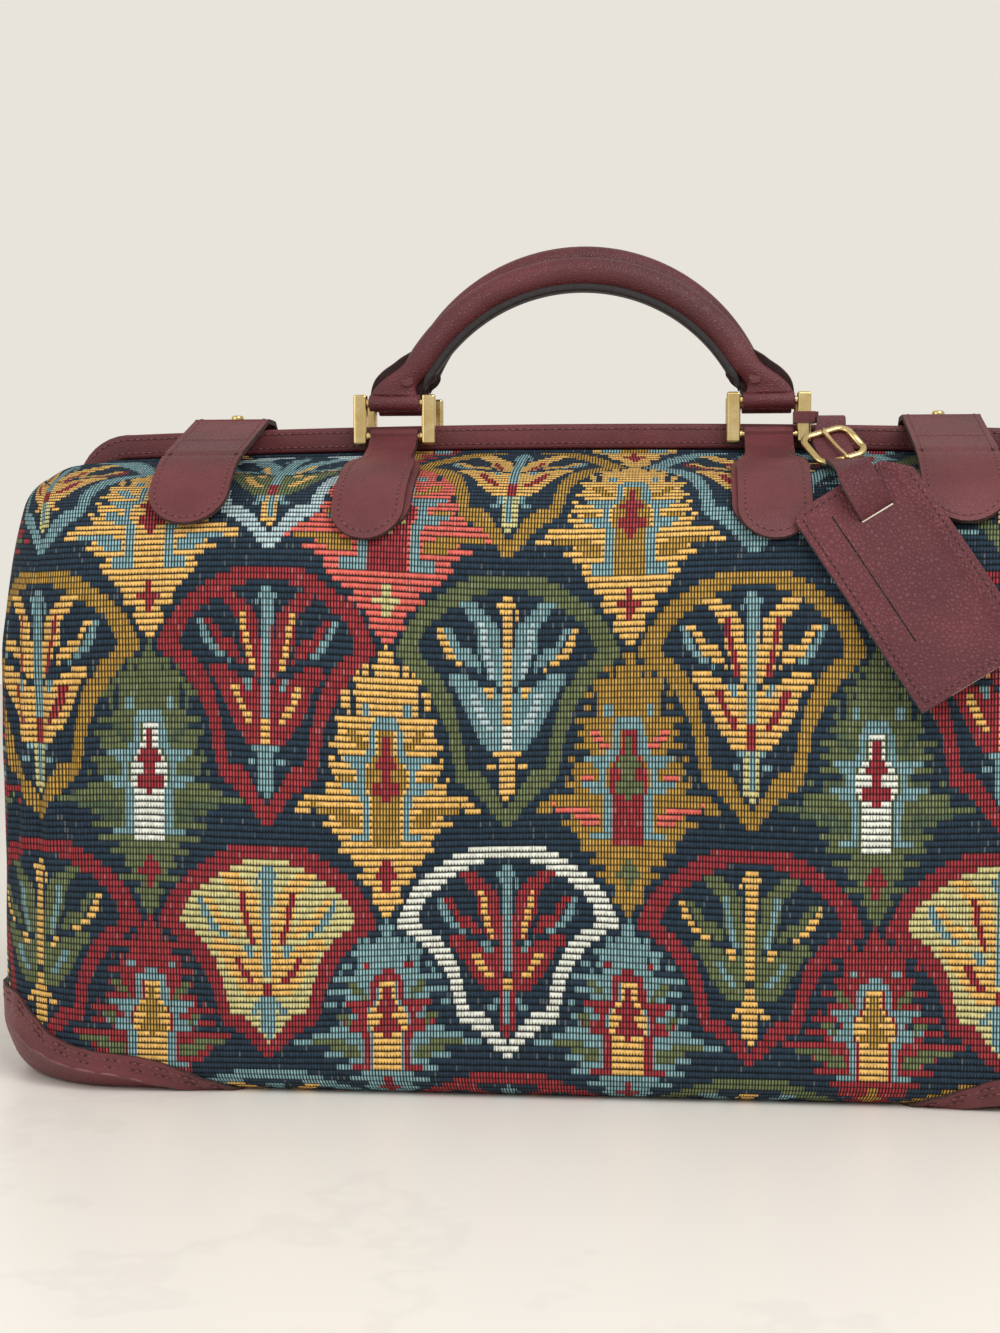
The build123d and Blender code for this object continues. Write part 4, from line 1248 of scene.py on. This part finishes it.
def tag_sheet(name, off, thickness, finishes, slot, replaces, open_front):
    """One layer of the tag, with its slot and, on the front, its slit and raised band."""
    def lengths(across, down):
        aside = np.interp(across, np.linspace(0, 1, len(tag_columns)), tag_columns)
        return np.interp(down, np.linspace(0, 1, len(tag_rows)), tag_rows), aside

    def place(across, down):
        along, aside = lengths(across, down)
        short, cut = (np.clip(size - (along - tag_top), 0, size) for size in (left_cut, tag_cut))
        aside = np.clip(aside, tag_left + short, tag_right - cut)
        edge = np.minimum.reduce([aside - tag_left, tag_right - aside, along - tag_top, tag_end - along])
        puff = band_rise(aside) + 0.5 * smooth_step(1.0, 7.0, edge) if open_front else 0 * aside
        return tag_point(along, aside, off + puff + tag_curl(along, aside))

    mesh, shares = grid_mesh(name, len(tag_columns) - 1, len(tag_rows) - 1, place)
    along, aside = lengths(*face_shares(mesh, shares)[0].T)
    holes = (np.abs(along) < 0.7) & (np.abs(aside) < 8)
    if slot == "card":
        holes |= aside < -16
    if open_front:
        holes |= (np.abs(aside + 17) < 0.4) & (along > -8) & (along < 56)
    bm = bmesh.new()
    bm.from_mesh(mesh)
    bm.faces.ensure_lookup_table()
    bmesh.ops.delete(bm, geom=[bm.faces[k] for k in np.flatnonzero(holes)], context="FACES")
    bmesh.ops.dissolve_degenerate(bm, dist=0.00005, edges=bm.edges[:])
    bmesh.ops.recalc_face_normals(bm, faces=bm.faces[:])
    if sum(face.normal.y for face in bm.faces) > 0:
        bmesh.ops.reverse_faces(bm, faces=bm.faces[:])
    bm.to_mesh(mesh)
    bm.free()
    thicken(add_piece(mesh, name, finishes, "name_tag", replaces), thickness, len(finishes) - 1)


def sew_tag(along, aside, off):
    """Adds fine stitches on the tag's face."""
    places = tag_point(along, aside, off + tag_curl(along, aside))
    sew("tag", places, np.tile(tag_face, (len(along), 1)), 2.0, 3.0, 0.6)


tag_sheet("tag_back_leather", 0.8, 1.5, [leather, tag_edge], "leather", ["tag_back"], False)
tag_sheet("tag_card_sheet", 1.9, 0.6, [card_finish], "card", ["tag_card"], False)
tag_sheet("tag_front_leather", 3.0, 1.5, [leather, tag_edge], "leather", ["tag_front"], True)
inset, skew = 3.0, 1.2
seam_corners = np.array([
    (tag_top + inset, tag_left + left_cut + skew), (tag_top + inset, tag_right - tag_cut - skew),
    (tag_top + tag_cut + skew, tag_right - inset), (tag_end - inset, tag_right - inset),
    (tag_end - inset, tag_left + inset), (tag_top + left_cut + skew, tag_left + inset),
    (tag_top + inset, tag_left + left_cut + skew),
])
seam_steps = np.linspace(0, len(seam_corners) - 1, 240)
seam_along, seam_aside = (np.interp(seam_steps, np.arange(len(seam_corners)), values)
                          for values in seam_corners.T)
sew_tag(seam_along, seam_aside, 4.0 + band_rise(seam_aside))
sew_tag(np.linspace(tag_top + 12, tag_end - 5, 100), 18.4, 4.6)

# Tag strap and buckle
strap_line = [(117.6, -15.6, 303.7), (117.6, -23.0, 302.6), (117.1, -31.0, 299.4), (116.3, -38.0, 295.6),
              (115.7, -43.4, 292.0), (117.0, -49.4, 287.0), (119.4, -56.0, 282.2), (121.2, -70.0, 279.7),
              (121.6, -90.0, 278.4), (121.8, -104.0, 276.2), (123.0, -110.8, 271.2), (126.4, -112.4, 264.6),
              tuple(tag_point(-1.0, 0.0, 5.2)), tuple(tag_point(0.2, 0.0, 3.0))]
tag_strap = Strap(strap_line, (-1, 0, 0), 200, -tag_aside)
strap_alongs = np.linspace(0, tag_strap.length, 80)
strap_halves = np.interp(strap_alongs, [0, 24, 31, 42, 56], [6.6, 6.7, 8.2, 8.2, 7.6])
strap_piece("tag_strap_leather", tag_strap, strap_alongs, strap_halves, 0 * strap_alongs, [leather, tag_edge],
            "name_tag", ["tag_strap"], 2.0, 6)
slot_aside = np.linspace(-7.6, 7.6, 8)
slot_line = tag_point(0.9, slot_aside, 4.2 + tag_curl(0.9, slot_aside))
new_piece(tube(slot_line, 0.45, (0.1, 1, 0.2), 6), "tag_slot_edge", [card_finish], "name_tag")

buckle_middle = np.array([117.0, -50.7, 288.5])
buckle_tilt, buckle_turn = math.radians(40.0), math.radians(25.0)
buckle_wide, buckle_thick, buckle_steps = 1.65, 1.3, 7
buckle_down = np.array([0, -math.cos(buckle_tilt), -math.sin(buckle_tilt)])
buckle_face = np.array([0, -math.sin(buckle_tilt), math.cos(buckle_tilt)])
buckle_aside = np.array([math.cos(buckle_turn), 0, 0]) - math.sin(buckle_turn) * buckle_down
buckle_down = np.array([math.sin(buckle_turn), 0, 0]) + math.cos(buckle_turn) * buckle_down
buckle_outline = round_box(11.2, 10.8, 5.0, buckle_steps)
outward = [(math.cos(turn), math.sin(turn)) for corner in range(4)
           for turn in np.linspace(0, math.pi / 2, buckle_steps) + corner * math.pi / 2]
wire_turn = np.linspace(0, 2 * math.pi, 12, endpoint=False)[:, None]
wire_out, wire_up = buckle_wide * np.cos(wire_turn), buckle_thick * np.sin(wire_turn)
buckle_rings = []
for (p, q), (u, v) in zip(buckle_outline, outward):
    point = buckle_middle + p * buckle_aside + q * buckle_down
    away = u * buckle_aside + v * buckle_down
    buckle_rings.append(point + wire_out * away + wire_up * buckle_face)
new_piece(swept(buckle_rings + buckle_rings[:1]), "tag_brass_buckle", [brass], "name_tag",
          ["tag_buckle"])
prong = [buckle_middle + way * buckle_down + off * buckle_face
         for way, off in ((-10.4, 1.9), (-4, 1.2), (4, 1.4), (10.6, 2.2), (13.6, 2.0))]
prong_bm = tube(smooth_line(prong, 16), np.linspace(1.0, 0.7, 16), (1, 0.1, 0), 10)
new_piece(prong_bm, "tag_brass_prong", [brass], "name_tag", ["tag_buckle_prong"])

# Stitches
stitch_bodies = {"tag": "name_tag"}
batch = 30
for group, stitches in stitch_lists.items():
    body = stitch_bodies.get(group, "bag")
    bm = bmesh.new()
    for first in range(0, len(stitches), batch):
        few = bmesh.new()
        for start, stop, face, width in stitches[first:first + batch]:
            way = Vector(stop - start)
            aside = way.cross(Vector(face)).normalized()
            up = aside.cross(way).normalized()
            matrix = Matrix((aside * width * 0.5, up * width * 0.42, way * 0.5)).transposed().to_4x4()
            matrix.translation = Vector((start + stop) / 2)
            matrix = Matrix.Scale(MM, 4) @ matrix
            bmesh.ops.create_uvsphere(few, u_segments=6, v_segments=4, radius=1.0, matrix=matrix)
        join(bm, few)
    new_piece(bm, f"{group}_stitches", [thread], body)
    # painted shade: a thin dark tube along each row of stitches stands for the shade in its channel
    seam_shade_tubes = bmesh.new()
    for line in seam_shade_lines[group]:
        join(seam_shade_tubes, tube(line, seam_shade_radius, seam_across, 6))
    new_piece(seam_shade_tubes, f"{group}_painted_seam_shade", [seam_shade], body)

# Finishes of the solids that stay
solid_finishes = {"frame_rivet": steel, "jaw_strip": steel, "base_board": board_finish, "_snap": brass,
                  "tab_stud": brass, "tag_loop": strap_leather}
for name, finish in solid_finishes.items():
    for node, solid in nodes.items():
        if name in node:
            solid.data.materials.clear()
            solid.data.materials.append(finish)

# Stage, light and camera
image_height, focal_pixels, sensor = 1333, 2020, 36.0
yaw, pitch = -0.094, -0.048
camera = bpy.data.objects.new("camera", bpy.data.cameras.new("camera"))
bpy.context.scene.collection.objects.link(camera)
camera.data.sensor_width = sensor
camera.data.lens = focal_pixels / image_height * sensor
camera.location = (0.0527, -0.9796, 0.2323)
camera.rotation_euler = (math.pi / 2 + pitch, 0.0, -yaw)
bpy.context.scene.camera = camera


def stage_finish(name, colour, veins):
    """A pale stone floor with faint veins."""
    finish = Finish(name, 0.35)
    cloud = finish.noise(finish.place(), 2.2, 6.0, 0.65)
    vein = finish.between(finish.math("ABSOLUTE", finish.math("SUBTRACT", cloud, 0.5)), 0.0, 0.02, veins, 0.0)
    finish.colour(finish.mix(vein, colour, tint(196, 192, 186)))
    return finish.material


floor_bm = bmesh.new()
bmesh.ops.create_grid(floor_bm, x_segments=1, y_segments=1, size=3.0)
floor_mesh = bpy.data.meshes.new("floor")
floor_bm.to_mesh(floor_mesh)
floor_bm.free()
floor_mesh.materials.append(stage_finish("pale_marble", tint(254, 250, 243), 0.09))
floor = bpy.data.objects.new("floor", floor_mesh)
bpy.context.scene.collection.objects.link(floor)

world = bpy.data.worlds.new("studio")
world.use_nodes = True
bpy.context.scene.world = world
tree = world.node_tree
sky = tree.nodes["Background"]
sky.inputs["Color"].default_value = tint(238, 234, 228)
sky.inputs["Strength"].default_value = 0.74
wall = tree.nodes.new("ShaderNodeBackground")
wall.inputs["Color"].default_value = tint(232, 228, 219)
seen = tree.nodes.new("ShaderNodeLightPath")
choose = tree.nodes.new("ShaderNodeMixShader")
tree.links.new(seen.outputs["Is Camera Ray"], choose.inputs[0])
tree.links.new(sky.outputs[0], choose.inputs[1])
tree.links.new(wall.outputs[0], choose.inputs[2])
tree.links.new(choose.outputs[0], tree.nodes["World Output"].inputs["Surface"])


def lamp(name, place, aim, size, power):
    """A soft square lamp."""
    light = bpy.data.lights.new(name, "AREA")
    light.size = size
    light.energy = power
    made = bpy.data.objects.new(name, light)
    made.location = place
    made.rotation_euler = (Vector(aim) - Vector(place)).to_track_quat("-Z", "Y").to_euler()
    bpy.context.scene.collection.objects.link(made)


lamp("key", (0.8, -1.2, 1.6), (0, 0, 0.15), 1.3, 20.5)
lamp("fill", (-1.3, -1.1, 0.9), (0, 0, 0.15), 1.2, 6.0)

bpy.context.scene.view_settings.view_transform = "Standard"
